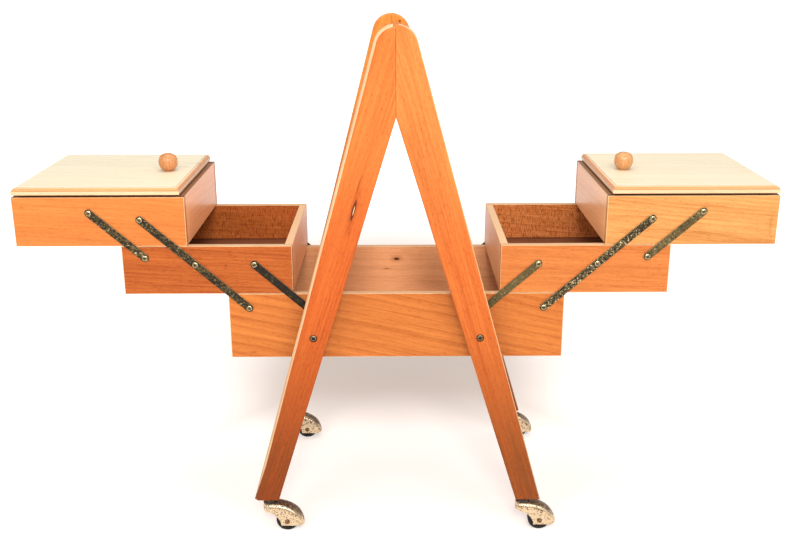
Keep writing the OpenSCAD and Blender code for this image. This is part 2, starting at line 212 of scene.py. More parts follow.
class Sock:
    """A shader socket that takes part in plain arithmetic."""

    def __init__(self, shader, socket):
        self.shader = shader
        self.socket = socket

    def math(self, operation, *others, clamp=False):
        """A Math node on this value and the others."""
        return self.shader.node(
            "ShaderNodeMath", {"operation": operation, "use_clamp": clamp},
            dict(enumerate((self, *others))))

    def __add__(self, other):
        return self.math("ADD", other)

    __radd__ = __add__

    def __sub__(self, other):
        return self.math("SUBTRACT", other)

    def __rsub__(self, other):
        return self.shader.node("ShaderNodeMath", {"operation": "SUBTRACT"}, {0: other, 1: self})

    def __mul__(self, other):
        return self.math("MULTIPLY", other)

    __rmul__ = __mul__

    def __truediv__(self, other):
        return self.math("DIVIDE", other)

    def __pow__(self, power):
        return self.math("POWER", power)

    def clamp(self):
        """The value kept between 0 and 1."""
        return self.math("ADD", 0.0, clamp=True)

    def step(self, low, high):
        """0 at low, 1 at high and smooth between them; low may be the larger."""
        return self.shader.node(
            "ShaderNodeMapRange", {"interpolation_type": "SMOOTHSTEP"},
            {"Value": self, "From Min": low, "From Max": high, "To Min": 0.0, "To Max": 1.0})


class Shader:
    """A material and the method that makes its nodes."""

    def __init__(self, name):
        self.material = bpy.data.materials.new(name)
        self.material.use_nodes = True
        self.tree = self.material.node_tree
        self.surface = self.tree.nodes["Principled BSDF"]

    def node(self, kind, options=None, sockets=None, out=0):
        """A node of that kind, its options set first, then its sockets' values or links."""
        made = self.tree.nodes.new(kind)
        for key, value in (options or {}).items():
            setattr(made, key, value)
        for key, value in (sockets or {}).items():
            self.feed(made.inputs[key], value)
        return Sock(self, made.outputs[out])

    def feed(self, socket, value):
        """Links a socket, or sets its constant."""
        if isinstance(value, Sock):
            self.tree.links.new(value.socket, socket)
        elif socket.type == "RGBA" and len(value) == 3:
            socket.default_value = (*value, 1.0)
        else:
            socket.default_value = value

    def surface_inputs(self, **values):
        """Feeds the Principled surface; underscores stand for spaces."""
        for key, value in values.items():
            self.feed(self.surface.inputs[key.replace("_", " ")], value)

    def attribute(self, name, out="Fac"):
        """A named attribute of the mesh."""
        return self.node("ShaderNodeAttribute", {"attribute_name": name}, out=out)

    def place(self):
        """The point in object space, which is the frame's own."""
        return self.node("ShaderNodeTexCoord", out="Object")

    def split(self, vector):
        """The three numbers of a vector."""
        made = self.node("ShaderNodeSeparateXYZ", None, {0: vector})
        return [Sock(self, socket) for socket in made.socket.node.outputs]

    def vector(self, operation, a, b, out=0):
        """A Vector Math node."""
        return self.node("ShaderNodeVectorMath", {"operation": operation}, {0: a, 1: b}, out)

    def mix(self, factor, a, b, blend="MIX"):
        """Two colours mixed by a factor."""
        options = {"data_type": "RGBA", "blend_type": blend, "clamp_factor": True}
        return self.node("ShaderNodeMix", options, {0: factor, 6: a, 7: b}, 2)

    def noise(self, point, stretch, detail=2.0, roughness=0.5):
        """Noise from 0 to 1, with this many features per metre along each axis."""
        scaled = self.vector("MULTIPLY", point, stretch)
        return self.node(
            "ShaderNodeTexNoise", {"noise_dimensions": "3D"},
            {"Vector": scaled, "Scale": 1.0, "Detail": detail, "Roughness": roughness}, "Fac")

    def cells(self, point, stretch):
        """Distance to the nearest of scattered points, in cells of that many per metre."""
        scaled = self.vector("MULTIPLY", point, stretch)
        return self.node("ShaderNodeTexVoronoi", None, {"Vector": scaled, "Scale": 1.0}, "Distance")

    def bump(self, height, distance, strength=1.0):
        """A Bump node."""
        return self.node(
            "ShaderNodeBump", None,
            {"Height": height, "Distance": distance, "Strength": strength}, "Normal")


# ---------------------------------------------------------------- wood finish

# Marks: middle, direction, half length, half width and darkness of each
KNOTS = {
    "front": [
        (Vector((0.0005, 0.104, 0.3155)), X_AXIS, 4.2 * MM, 2.2 * MM, 0.9),
        (Vector((-0.0150, 0.104, 0.3000)), X_AXIS, 3.4 * MM, 0.6 * MM, 0.7),
        (Vector((-0.4760, -0.114, 0.4520)), X_AXIS, 3.4 * MM, 1.8 * MM, 0.18),
        (Vector((0.4800, -0.114, 0.4260)), Z_AXIS, 13.0 * MM, 2.0 * MM, 0.15),
        (Vector((-0.1900, -0.114, 0.2530)), X_AXIS, 3.0 * MM, 0.8 * MM, 0.5),
    ],
    "leg": [
        (Vector((-0.0530, -0.146, 0.4560)), Vector((-0.27, 0, -0.96)), 15 * MM, 2.2 * MM, 0.85),
        (Vector((-0.0465, -0.146, 0.4860)), Vector((-0.27, 0, -0.96)), 10 * MM, 0.9 * MM, 0.35),
        (Vector((0.0060, 0.130, 0.6660)), X_AXIS, 1.3 * MM, 1.3 * MM, 1.0),
    ],
}
# The pale sliver in the eye of the leg's knot
KNOT_EYE = (Vector((-0.0530, -0.146, 0.4545)), Vector((-0.27, 0, -0.96)), 6 * MM, 0.6 * MM, 1.0)


def mark_reach(shader, middle, way, half_length, half_width):
    """How far a point is from a mark's middle, where 1 is the mark's edge."""
    away = shader.vector("SUBTRACT", shader.place(), tuple(middle))
    along = shader.vector("DOT_PRODUCT", away, tuple(way.normalized()), "Value")
    whole = shader.vector("LENGTH", away, (0, 0, 0), "Value")
    across = (whole * whole - along * along).math("MAXIMUM", 0.0)
    return (along * along / half_length ** 2 + across / half_width ** 2) ** 0.5


def knot_marks(shader, knots, ragged):
    """Core and halo of the knots, each from 0 to 1."""
    core = halo = None
    for middle, way, half_length, half_width, darkness in knots:
        reach = mark_reach(shader, middle, way, half_length, half_width) + ragged * 0.9
        own_core = reach.step(1.15, 0.75) * darkness
        own_halo = reach.step(3.4, 0.8) * darkness
        core = own_core if core is None else core.math("MAXIMUM", own_core)
        halo = own_halo if halo is None else halo.math("MAXIMUM", own_halo)
    return core, halo


def beech(name, light, dark, knots=(), eye=None, roughness=0.36, coat=0.08, foot_shade=0.0):
    """Varnished beech, cut from a trunk whose rings follow the mesh's grain attribute.

    The figure attribute holds the strength of the rings and of the streaks and the width of the
    rings; two attributes mark faces with wear and painted highlight and faces with soiling and
    painted shade, inside marks the inner faces, which get painted shade and saw marks, edge marks the
    moulded faces, and seam is the height of the dark line on the inner ones."""
    wood = settings().wood
    shader = Shader(name)
    grain = shader.attribute("grain", "Vector")
    tint = shader.attribute("tint", "Color")
    worn = shader.attribute("worn")
    grime_and_shade = shader.attribute("grime_and_shade")
    inside = shader.attribute("inside")
    seam_z = shader.attribute("seam")
    height_z = shader.split(shader.place())[2]
    ring_power, streak_power, ring_scale = shader.split(shader.attribute("figure", "Vector"))
    _, across, depth = shader.split(grain)

    drift = shader.noise(grain, (4.0, 18.0, 18.0), 2.0) - 0.5
    band = shader.noise(grain, (2.0, 75.0, 75.0), 2.0) - 0.5
    streak = shader.noise(grain, (13.0, 420.0, 420.0), 3.0, 0.6) - 0.5
    fibre = shader.noise(grain, (60.0, 1500.0, 1500.0), 2.0, 0.6) - 0.5
    dash = shader.noise(grain, (150.0, 1000.0, 1000.0), 1.0).step(0.56, 0.70)
    hatch = shader.noise(grain, (900.0, 130.0, 130.0), 2.0, 0.6).step(0.50, 0.66)
    ragged = shader.noise(grain, (60.0, 260.0, 260.0), 2.0) - 0.5

    ring_at = (across * across + depth * depth) ** 0.5 + drift * (10 * MM) + streak * (1.0 * MM)
    core = halo = None
    if knots:
        core, halo = knot_marks(shader, knots, ragged)
        ring_at = ring_at + halo * halo * (7 * MM)
    ring = (ring_at / (ring_scale * wood.ring_spacing)).math("FRACT")
    late = ring ** 2.2 * ring.step(1.0, 0.90)

    shade = 0.68 - late * ring_power * (drift + 0.85) * 0.55
    shade = shade + (streak * 1.2 + band * 1.0) * streak_power + fibre * 0.8 + drift * 0.40
    shade = shade - dash * streak_power * 0.42
    base = shader.mix(shade.clamp(), dark, light)
    base = shader.mix(drift.step(-0.22, 0.25) * 0.30, base, (1.0, 0.88, 0.78), "MULTIPLY")
    base = shader.mix(1.0, base, tint, "MULTIPLY")
    # Painted shade: the inner faces are darkened and reddened in blotches
    darkening = inside * (0.45 + band * 1.6 + drift).clamp()
    base = shader.mix(darkening, base, (0.72, 0.52, 0.44), "MULTIPLY")
    base = shader.mix(inside * hatch * 0.75, base, (0.30, 0.16, 0.12), "MULTIPLY")
    if knots:
        base = shader.mix(halo * 0.55, base, (0.55, 0.30, 0.18), "MULTIPLY")
        base = shader.mix(core, base, tuple(wood.knot))
    if eye:
        middle, way, half_length, half_width, paleness = eye
        reach = mark_reach(shader, middle, way, half_length, half_width)
        base = shader.mix(reach.step(1.2, 0.8) * paleness, base, tuple(wood.worn))
    base = shader.mix(shader.attribute("edge"), base, (0.85, 0.42, 0.22), "MULTIPLY")
    # Painted shade: the legs darken and redden towards the floor, and darken more in streaks near it
    if foot_shade:
        base = shader.mix(height_z.step(0.62, 0.36), base, (0.90, 0.66, 0.50), "MULTIPLY")
        painted_shade = height_z.step(0.36, 0.05) * (foot_shade * (1.0 + streak * 1.6 + band))
        base = shader.mix(painted_shade.clamp(), base, (0.36, 0.38, 0.36), "MULTIPLY")
    # Wear and painted highlight: pale bare wood on the eased edges and top rims
    rubbed_and_lit = worn * (0.80 + streak * 1.0 + drift * 0.7).clamp()
    base = shader.mix(rubbed_and_lit, base, tuple(wood.worn))
    # Near black: painted shade on the rims under the lids and in the screw recesses, soiling and
    # painted shade in the lids' steps, the dark mitre joint, and the dark line where the floor meets
    # the inner faces
    seam = inside * (height_z - seam_z).math("ABSOLUTE").step(2.0 * MM, 0.7 * MM)
    base = shader.mix((grime_and_shade + seam).clamp() * 0.9, base, (0.05, 0.02, 0.01))

    gloss = roughness + streak * 0.16 + drift * 0.22 + rubbed_and_lit * 0.12 + dash * 0.05
    height = fibre * 0.5 + streak * 0.6 - dash * 0.35 - late * 0.25
    shader.surface_inputs(
        Base_Color=base, Roughness=gloss.clamp(), Specular_IOR_Level=0.12,
        Coat_Weight=(rubbed_and_lit * -coat + coat).clamp(), Coat_Roughness=0.2, IOR=1.46,
        Normal=shader.bump(height, 0.12 * MM, 0.8))
    return shader.material


def turned_beech(name):
    """Beech of the knobs, the handle and the spacers."""
    wood = settings().wood
    return beech(name, tuple(wood.turned_light), tuple(wood.turned_dark), roughness=0.24, coat=0.45)


# ---------------------------------------------------------------- metal finishes

def tarnished_steel(name):
    """Steel under olive and black tarnish; the polish attribute holds how bright it
    still is and how strongly it is mottled."""
    metal = settings().metal
    shader = Shader(name)
    place = shader.place()
    worn = shader.attribute("worn")
    clean, mottling, _ = shader.split(shader.attribute("polish", "Vector"))
    mottle = shader.noise(place, (300.0, 300.0, 300.0), 4.0, 0.75) - 0.5
    patch = shader.noise(place, (42.0, 42.0, 42.0), 2.0) - 0.5
    speck = shader.noise(place, (850.0, 850.0, 850.0), 2.0, 0.7) - 0.5
    value = clean + (mottle * 4.2 + patch * 0.9 + speck * 3.6) * mottling
    base = shader.mix(value.step(-0.05, 0.40), tuple(metal.black), tuple(metal.tarnish))
    base = shader.mix(value.step(0.50, 1.15), base, tuple(metal.steel))
    # Wear and painted highlight: bare steel on the link edges and the screw rims
    rubbed_and_lit = worn * clean.step(-0.20, 0.0) * (0.75 + speck * 1.6)
    base = shader.mix(rubbed_and_lit.clamp(), base, tuple(metal.steel))
    shader.surface_inputs(
        Base_Color=base, Specular_IOR_Level=0.2, Metallic=(0.55 + value * 0.3 + worn * 0.3).clamp(),
        Roughness=(0.46 - value * 0.10 - worn * 0.10 + speck * 0.2).clamp(),
        Normal=shader.bump(mottle * 0.6 + speck * 0.6, 0.10 * MM, 0.8))
    return shader.material


def pitted_brass(name):
    """Pale plated brass, pitted on the cheeks and brown where the crest attribute says."""
    metal = settings().metal
    shader = Shader(name)
    place = shader.place()
    crest = shader.attribute("crest")
    mottle = shader.noise(place, (210.0, 210.0, 210.0), 3.0, 0.65) - 0.5
    speck = shader.noise(place, (650.0, 650.0, 650.0), 2.0, 0.6) - 0.5
    cell = shader.cells(place, (430.0, 430.0, 430.0))
    pits = cell.step(0.50, 0.25) * (mottle + speck * 0.6).step(-0.12, 0.06)
    brown = (crest + mottle * 2.4 + speck * 1.8).step(0.30, 0.70)
    base = shader.mix(brown, tuple(metal.brass), tuple(metal.patina))
    base = shader.mix(pits * 0.95, base, (0.03, 0.012, 0.005))
    # Near black for the crease, and for the collar, where it also paints the shade under the leg
    base = shader.mix(crest.step(1.2, 2.0), base, (0.012, 0.006, 0.003))
    base = shader.mix((speck.step(0.08, 0.22) * 0.5).clamp(), base, (0.86, 0.78, 0.62))
    shader.surface_inputs(
        Base_Color=base, Metallic=(0.92 - pits * 0.6 - brown * 0.2 - crest.step(1.2, 2.0)).clamp(),
        Roughness=(0.26 + brown * 0.08 + pits * 0.3 + speck * 0.25).clamp(),
        Normal=shader.bump(mottle * 0.5 + speck * 0.5 - pits * 0.9, 0.18 * MM, 0.9))
    return shader.material


def plain_brass(name):
    """Dull brass of the hinges and the castors' axles."""
    metal = settings().metal
    shader = Shader(name)
    place = shader.place()
    mottle = shader.noise(place, (140.0, 140.0, 140.0), 3.0, 0.6)
    speck = shader.noise(place, (1200.0, 1200.0, 300.0), 2.0)
    base = shader.mix(mottle.step(0.34, 0.56) * 0.8, tuple(metal.brass), tuple(metal.patina))
    shader.surface_inputs(
        Base_Color=base, Metallic=0.95, Roughness=(0.32 + mottle * 0.2 + speck * 0.1).clamp(),
        Normal=shader.bump(speck, 0.05 * MM, 0.5))
    return shader.material


def dark_brass(name):
    """Blackened brass of the castor sockets."""
    shader = Shader(name)
    mottle = shader.noise(shader.place(), (140.0, 140.0, 140.0), 3.0, 0.6)
    base = shader.mix(mottle.step(0.4, 0.7), (0.012, 0.006, 0.003), (0.08, 0.04, 0.016))
    shader.surface_inputs(
        Base_Color=base, Metallic=0.3, Roughness=(0.5 + mottle * 0.2).clamp(),
        Normal=shader.bump(mottle, 0.05 * MM, 0.5))
    return shader.material


def worn_black(name):
    """Black castor wheels, dusty on the tread."""
    metal = settings().metal
    shader = Shader(name)
    place = shader.place()
    dust = shader.noise(place, (260.0, 260.0, 260.0), 3.0, 0.65)
    scuff = shader.noise(place, (1500.0, 300.0, 1500.0), 2.0)
    base = shader.mix(dust.step(0.54, 0.78) * 0.2, tuple(metal.wheel), (0.12, 0.10, 0.08))
    shader.surface_inputs(
        Base_Color=base, Roughness=(0.34 + dust * 0.22 + scuff * 0.1).clamp(),
        Specular_IOR_Level=0.3, Normal=shader.bump(dust + scuff * 0.4, 0.08 * MM, 0.5))
    return shader.material


FINISHES = {}


def finish(name):
    """The named finish, made when it is first asked for."""
    if name not in FINISHES:
        FINISHES[name] = FINISH_MAKERS[name](name)
    return FINISHES[name]


def front_beech(name):
    """Beech of the front and back boards."""
    wood = settings().wood
    return beech(name, tuple(wood.front_light), tuple(wood.front_dark), knots=KNOTS["front"])


def end_beech(name):
    """Paler beech of the end boards."""
    wood = settings().wood
    return beech(name, tuple(wood.end_light), tuple(wood.end_dark), roughness=0.33, coat=0.15)


def leg_beech(name):
    """Redder beech of the legs, darkened towards the floor by painted shade."""
    wood = settings().wood
    return beech(name, tuple(wood.leg_light), tuple(wood.leg_dark), knots=KNOTS["leg"],
                 eye=KNOT_EYE, foot_shade=0.9)


def lid_beech(name):
    """Pale beech of the lids."""
    wood = settings().wood
    return beech(name, tuple(wood.lid_light), tuple(wood.lid_dark), roughness=0.32, coat=0.15)


def floor_veneer(name):
    """Veneer of the floor panels, made dark with painted shade for the inside of the boxes."""
    wood = settings().wood
    return beech(name, tuple(wood.floor_light), tuple(wood.floor_dark), roughness=0.5, coat=0.0)


FINISH_MAKERS = {
    "front_beech": front_beech,
    "end_beech": end_beech,
    "leg_beech": leg_beech,
    "lid_beech": lid_beech,
    "floor_veneer": floor_veneer,
    "turned_beech": turned_beech,
    "link_steel": tarnished_steel,
    "screw_steel": tarnished_steel,
    "pitted_brass": pitted_brass,
    "plain_brass": plain_brass,
    "dark_brass": dark_brass,
    "worn_black": worn_black,
}


# ---------------------------------------------------------------- mesh helpers

def new_piece(name, mesh, body, finish_name, *nodes):
    """Shows a mesh as a piece that rides on a body, and stands for these CAD nodes."""
    piece = bpy.data.objects.new(name, mesh)
    bpy.context.scene.collection.objects.link(piece)
    mesh.materials.clear()
    mesh.materials.append(finish(finish_name))
    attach(piece, body)
    if nodes:
        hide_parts(*nodes)
    return piece


def mesh_from(bm, name):
    """Turns a bmesh into a mesh, with its normals outwards, and frees it."""
    bmesh.ops.recalc_face_normals(bm, faces=bm.faces)
    mesh = bpy.data.meshes.new(name)
    bm.to_mesh(mesh)
    bm.free()
    return mesh


def set_points(mesh, name, kind, values):
    """Stores one value for each vertex."""
    layer = mesh.attributes.new(name, kind, "POINT")
    key = {"FLOAT": "value", "FLOAT_VECTOR": "vector", "FLOAT_COLOR": "color"}[kind]
    for item, value in zip(layer.data, values):
        setattr(item, key, value)


def set_faces(mesh, name, values):
    """Stores one number for each face."""
    layer = mesh.attributes.new(name, "FLOAT", "FACE")
    layer.data.foreach_set("value", values)


def mark_grain(mesh, way, side, middle, pith=(30 * MM, 60 * MM), lean=0.06, seed=0.0,
               tint=(1, 1, 1), figure=(0.6, 1.0, 1.0)):
    """Stores where each point lies in its trunk: along the grain, and across from the pith.

    way is the grain's direction and side one across it; pith is how far the trunk's
    middle is from the piece's, and lean how fast the grain runs out of the face. tint
    is one colour for the whole piece, or a list with one for each vertex."""
    way = Vector(way).normalized()
    side = Vector(side).normalized()
    through = way.cross(side)
    places = []
    for vertex in mesh.vertices:
        away = vertex.co - middle
        along = away.dot(way)
        places.append((along + seed, away.dot(side) + pith[0] + lean * along,
                       away.dot(through) + pith[1]))
    count = len(mesh.vertices)
    set_points(mesh, "grain", "FLOAT_VECTOR", places)
    tints = tint if isinstance(tint, list) else [tint] * count
    set_points(mesh, "tint", "FLOAT_COLOR", [(*colour, 1.0) for colour in tints])
    set_points(mesh, "figure", "FLOAT_VECTOR", [figure] * count)


def cad_copy(node):
    """A merged copy of a CAD node's mesh, with flat faces made whole."""
    bm = bmesh.new()
    bm.from_mesh(frame["nodes"][node].data)
    bmesh.ops.remove_doubles(bm, verts=bm.verts, dist=0.002 * MM)
    bmesh.ops.dissolve_limit(bm, angle_limit=math.radians(0.5), verts=bm.verts, edges=bm.edges)
    return bm


def ease_edges(bm, radius, segments=2, sharpest=math.radians(30), chosen=None):
    """Rounds every edge sharper than that angle, or those that chosen picks; gives the new faces."""
    sharp = [edge for edge in bm.edges
             if len(edge.link_faces) == 2 and edge.calc_face_angle() > sharpest
             and (chosen is None or chosen(edge))]
    made = bmesh.ops.bevel(bm, geom=sharp, offset=radius, offset_type="OFFSET",
                           segments=segments, profile=0.5, affect="EDGES", clamp_overlap=False)
    return set(made["faces"])


def is_long(edge):
    """Whether an edge is a board's own, and not the rim of a screw hole."""
    return edge.calc_length() > 6 * MM


def eased_mesh(bm, name, eased):
    """Makes the mesh, smooth and marked for wear and painted highlight on the eased faces and flat on
    the rest.
    """
    for face in bm.faces:
        face.smooth = face in eased
    worn = [1.0 if face in eased else 0.0 for face in bm.faces]
    mesh = mesh_from(bm, name)
    set_faces(mesh, "worn", worn)
    return mesh


def loft(rings, closed=True, caps=True):
    """A bmesh skin over rings of points; caps closes the first and the last ring."""
    bm = bmesh.new()
    rows = [[bm.verts.new(point) for point in ring] for ring in rings]
    count = len(rows[0])
    last = count if closed else count - 1
    for low, high in zip(rows, rows[1:]):
        for i in range(last):
            j = (i + 1) % count
            bm.faces.new((low[i], low[j], high[j], high[i]))
    if caps:
        bm.faces.new(rows[0][::-1])
        bm.faces.new(rows[-1])
    return bm


def lathe(profile, base, axis, steps=48, ring=False):
    """A skin turned about an axis from (radius, height) pairs; ring joins the last to the first."""
    axis = Vector(axis).normalized()
    u = axis.orthogonal().normalized()
    v = axis.cross(u)
    rings = []
    for radius, height in profile:
        middle = Vector(base) + axis * height
        turn = [2 * math.pi * k / steps for k in range(steps)]
        rings.append([middle + (u * math.cos(a) + v * math.sin(a)) * radius for a in turn])
    if ring:
        return loft(rings + [rings[0]], caps=False)
    return loft(rings)


def arc(middle, radius, start, end, steps):
    """Points on an arc in a plane, angles in degrees."""
    angles = [math.radians(start + (end - start) * k / steps) for k in range(steps + 1)]
    return [(middle[0] + radius * math.cos(a), middle[1] + radius * math.sin(a)) for a in angles]


def shade_smooth(mesh, angle=math.radians(35)):
    """Smooth shading that keeps edges sharper than the angle."""
    mesh.shade_smooth()
    mesh.set_sharp_from_angle(angle=angle)


def body_of(node):
    """The body that a CAD node rides on."""
    return frame["nodes"][node]["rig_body"]


def middle_of(node):
    """The middle of a CAD node's box."""
    low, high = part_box(node)
    return (low + high) / 2


def joint_at(name):
    """A joint's place."""
    return Vector(JOINTS[name]["pos_m"])


# ---------------------------------------------------------------- boards

# Tint; distance of the pith across and through; lean of the grain; strength of rings, strength of
# streaks and width of rings; strength of the painted shade, saw marks and dark line on the inner face
BOARD_LOOKS = {
    "base_front": ((0.94, 0.95, 0.95), (150 * MM, 20 * MM), 0.22, (0.75, 0.75, 2.9), 0.0),
    # Painted light and sheen: the inner face of the base's back board is tinted far paler
    "base_back": ((1.72, 2.6, 5.9), (12 * MM, 70 * MM), 0.03, (0.35, 0.35, 1.0), 0.0),
    "left_mid_front": ((0.72, 0.56, 0.46), (48 * MM, 60 * MM), 0.05, (0.5, 1.2, 0.9), 0.0),
    "left_mid_back": ((1.02, 1.0, 1.2), (-30 * MM, 70 * MM), 0.06, (0.5, 1.1, 0.9), 0.9),
    "right_mid_front": ((0.98, 1.01, 1.18), (60 * MM, 55 * MM), 0.04, (0.4, 0.8, 1.0), 0.0),
    "right_mid_back": ((1.40, 1.72, 2.6), (40 * MM, 66 * MM), 0.08, (0.5, 1.3, 0.8), 1.0),
    "left_top_front": ((1.07, 1.10, 1.20), (-52 * MM, 58 * MM), 0.05, (0.4, 0.6, 0.9), 0.0),
    "left_top_back": ((1.0, 1.0, 1.0), (35 * MM, 66 * MM), 0.05, (0.5, 0.9, 1.0), 0.5),
    "right_top_front": ((1.08, 1.58, 2.3), (22 * MM, 40 * MM), 0.10, (0.7, 0.7, 0.9), 0.0),
    "right_top_back": ((1.0, 1.2, 1.2), (-35 * MM, 58 * MM), 0.05, (0.5, 0.9, 1.0), 0.5),
}
END_LOOK = ((1, 1, 1), (-38 * MM, 55 * MM), 0.05, (0.35, 0.6, 1.1), 0.5)
# Painted highlight: the inner ends are tinted paler for the sheen they catch, and those of the right
# trays are paler still
INNER_SHEEN_TINTS = {"left_mid": (1.14, 1.04, 0.92), "right_mid": (1.2, 1.35, 1.3),
               "left_top": (1.18, 1.12, 1.0), "right_top": (1.2, 1.3, 1.2)}
PANEL_LOOK = ((1, 1, 1), (20 * MM, 90 * MM), 0.02, (0.4, 1.0, 1.0), 0.0)
BOARD_GROUPS = ("base", "left_mid", "right_mid", "left_top", "right_top")


def make_board(node, way, side, finish_name, look, seed):
    """One eased board that stands for its CAD node."""
    tint, pith, lean, figure, inner_shade = look
    group = next(name for name in BOARD_GROUPS if node.startswith(name))
    floor_low, floor_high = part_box(group + "_floor")
    box_middle = (floor_low + floor_high) / 2
    board_middle = middle_of(node)
    inward = box_middle - board_middle
    inward.z = 0
    inward.normalize()
    bm = cad_copy(node)
    eased = ease_edges(bm, settings().shape.arris, chosen=is_long)
    mesh = eased_mesh(bm, node, eased)
    covered = "_top_" in node
    worn = [value.value for value in mesh.attributes["worn"].data]
    grime_and_shade, inside, tints = [], [], [(1.0, 1.0, 1.0)] * len(mesh.vertices)
    for face in mesh.polygons:
        inner = face.normal.dot(inward) > 0.9
        # A back board keeps its tint to the face that is seen over the rims
        if inner or not node.endswith("back"):
            for corner in face.vertices:
                tints[corner] = tint
        # Top rims get wear and a painted highlight
        rim = face.normal.z > 0.9 and not node.endswith("floor")
        if rim:
            worn[face.index] = 0.0 if covered else 0.9
        # Painted shade on the rims of the top trays, which lie under the lids
        grime_and_shade.append(0.85 if rim and covered else 0.0)
        inside.append(inner_shade if inner else 0.0)
    mesh.attributes["worn"].data.foreach_set("value", worn)
    set_faces(mesh, "grime_and_shade", grime_and_shade)
    set_faces(mesh, "inside", inside)
    set_points(mesh, "seam", "FLOAT", [floor_high.z] * len(mesh.vertices))
    mark_grain(mesh, way, side, board_middle, pith, lean, seed, tints, figure)
    return new_piece(node + "_board", mesh, body_of(node), finish_name, node)


class SEWINGBOX_OT_boards(bpy.types.Operator):
    """Make the boards and floor panels of the five boxes"""

    bl_idname = "sewing_box.boards"
    bl_label = "Boards"

    def execute(self, context):
        for index, group in enumerate(BOARD_GROUPS):
            for face in FACES:
                node = f"{group}_{face}"
                make_board(node, X_AXIS, Z_AXIS, "front_beech", BOARD_LOOKS[node],
                           3.1 * index + (1.7 if face == "back" else 0.0))
            ends = ("left_end", "right_end") if group == "base" else ("inner_end", "outer_end")
            for place, end in enumerate(ends):
                look = (INNER_SHEEN_TINTS[group], *END_LOOK[1:]) if end == "inner_end" else END_LOOK
                make_board(f"{group}_{end}", Y_AXIS, Z_AXIS, "end_beech", look,
                           20.0 + 2.3 * index + 0.9 * place)
            make_board(f"{group}_floor", X_AXIS, Y_AXIS, "floor_veneer", PANEL_LOOK,
                       40.0 + 1.9 * index)
        return {"FINISHED"}


# ---------------------------------------------------------------- legs

# Radius of an A-frame's rounded top
CROWN_R = 27.4 * MM
# Radius of a screw head in the frame
CAD_HEAD_R = 4.0 * MM
# Radius of the painted shade in the recess round a leg's screw
RECESS_R = 5.4 * MM
# Largest face that the painted shade may fill
RECESS_AREA = 90 * MM ** 2
LEG_TINTS = {
    "front_left_leg": (0.98, 0.94, 0.88), "front_right_leg": (1.04, 1.16, 1.28),
    "back_left_leg": (1.12, 1.34, 1.2), "back_right_leg": (1.12, 1.34, 1.2),
}


def leg_screw_places():
    """Where the screws go through the legs, on the left and on the right."""
    low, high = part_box("leg_screws")
    reach = high.x - CAD_HEAD_R
    return [Vector((x, 0, (low.z + high.z) / 2)) for x in (-reach, reach)]


def front_distance(point, other):
    """How far apart two points are when seen from the front."""
    return math.hypot(point.x - other.x, point.z - other.z)


def crown_of(node):
    """The middle of a leg's rounded top."""
    low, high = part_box(node)
    corners = [vertex.co for vertex in frame["nodes"][node].data.vertices]
    top = max(corners, key=lambda corner: corner.z)
    return Vector((top.x, (low.y + high.y) / 2, high.z - CROWN_R))


def outer_edges(bm, crown, out):
    """The edges along a leg's outer side and over its rounded top."""
    found = set()
    for edge in bm.edges:
        normals = [near.normal for near in edge.link_faces]
        place = (edge.verts[0].co + edge.verts[1].co) / 2
        on_crown = place.z > crown.z - 8 * MM and front_distance(place, crown) > 0.9 * CROWN_R
        outside = any(n.x * out > 0.3 or n.z > 0.3 for n in normals)
        on_face = any(abs(n.y) > 0.9 for n in normals)
        if outside and on_face and (is_long(edge) or on_crown):
            found.add(edge)
    return found


class SEWINGBOX_OT_legs(bpy.types.Operator):
    """Make the four tapered legs of the two A-frames"""

    bl_idname = "sewing_box.legs"
    bl_label = "Legs"

    def execute(self, context):
        screws = dict(zip(SIDES, leg_screw_places()))
        for index, (face, side) in enumerate(CORNERS):
            node = f"{face}_{side}_leg"
            out = -1 if side == "left" else 1
            low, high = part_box(node)
            foot_x = low.x if side == "left" else high.x
            way = Vector((foot_x, 0, low.z)) - Vector((0, 0, high.z))
            crown = crown_of(node)
            mesh = self.rounded_leg(node, crown, out)
            self.mark_wear_and_lit(mesh, out, 1.0 if face == "front" else 0.3)
            self.mark_joint_and_shade(mesh, screws[side], crown if face == "front" else None)
            mark_grain(mesh, way, way.cross(Y_AXIS), middle_of(node), (36 * MM, 48 * MM),
                       0.02, 60.0 + 2.9 * index, LEG_TINTS[node], (0.35, 0.9, 0.9))
            new_piece(node + "_board", mesh, body_of(node), "leg_beech", node)
        return {"FINISHED"}

    @staticmethod
    def rounded_leg(node, crown, out):
        """A leg's mesh, well rounded on the outside and eased elsewhere."""
        shape = settings().shape
        bm = cad_copy(node)
        outside = outer_edges(bm, crown, out)
        radius = shape.wide_round if node == "front_left_leg" else shape.leg_round
        rounded = ease_edges(bm, radius, 4, chosen=lambda edge: edge in outside)
        sharp = ease_edges(
            bm, shape.arris, 2, math.radians(40), lambda edge: is_long(edge) and not any(
                near in rounded for near in edge.link_faces))
        return eased_mesh(bm, node, rounded | sharp)

    @staticmethod
    def mark_wear_and_lit(mesh, out, strength):
        """Keeps the wear and painted highlight to the edges on the leg's outer side."""
        for face, wear in zip(mesh.polygons, mesh.attributes["worn"].data):
            outside = face.normal.x * out > 0.1 or face.normal.z > 0.1
            shown = outside and face.center.x * out > 2 * MM and abs(face.normal.y) < 0.9
            wear.value *= strength if shown else 0.0

    @staticmethod
    def mark_joint_and_shade(mesh, screw, crown):
        """Marks painted shade in the recess round the screw and, given the crown, a dark joint along
        the front of the mitre.
        """
        joint_and_shade = []
        for face in mesh.polygons:
            recess = face.area < RECESS_AREA and front_distance(face.center, screw) < RECESS_R
            mitre = (crown and abs(face.center.x - crown.x) < 1.5 * MM
                     and abs(face.normal.y) < 0.97 and face.center.y < crown.y)
            joint_and_shade.append(0.9 if recess else 0.22 if mitre else 0.0)
        set_faces(mesh, "grime_and_shade", joint_and_shade)


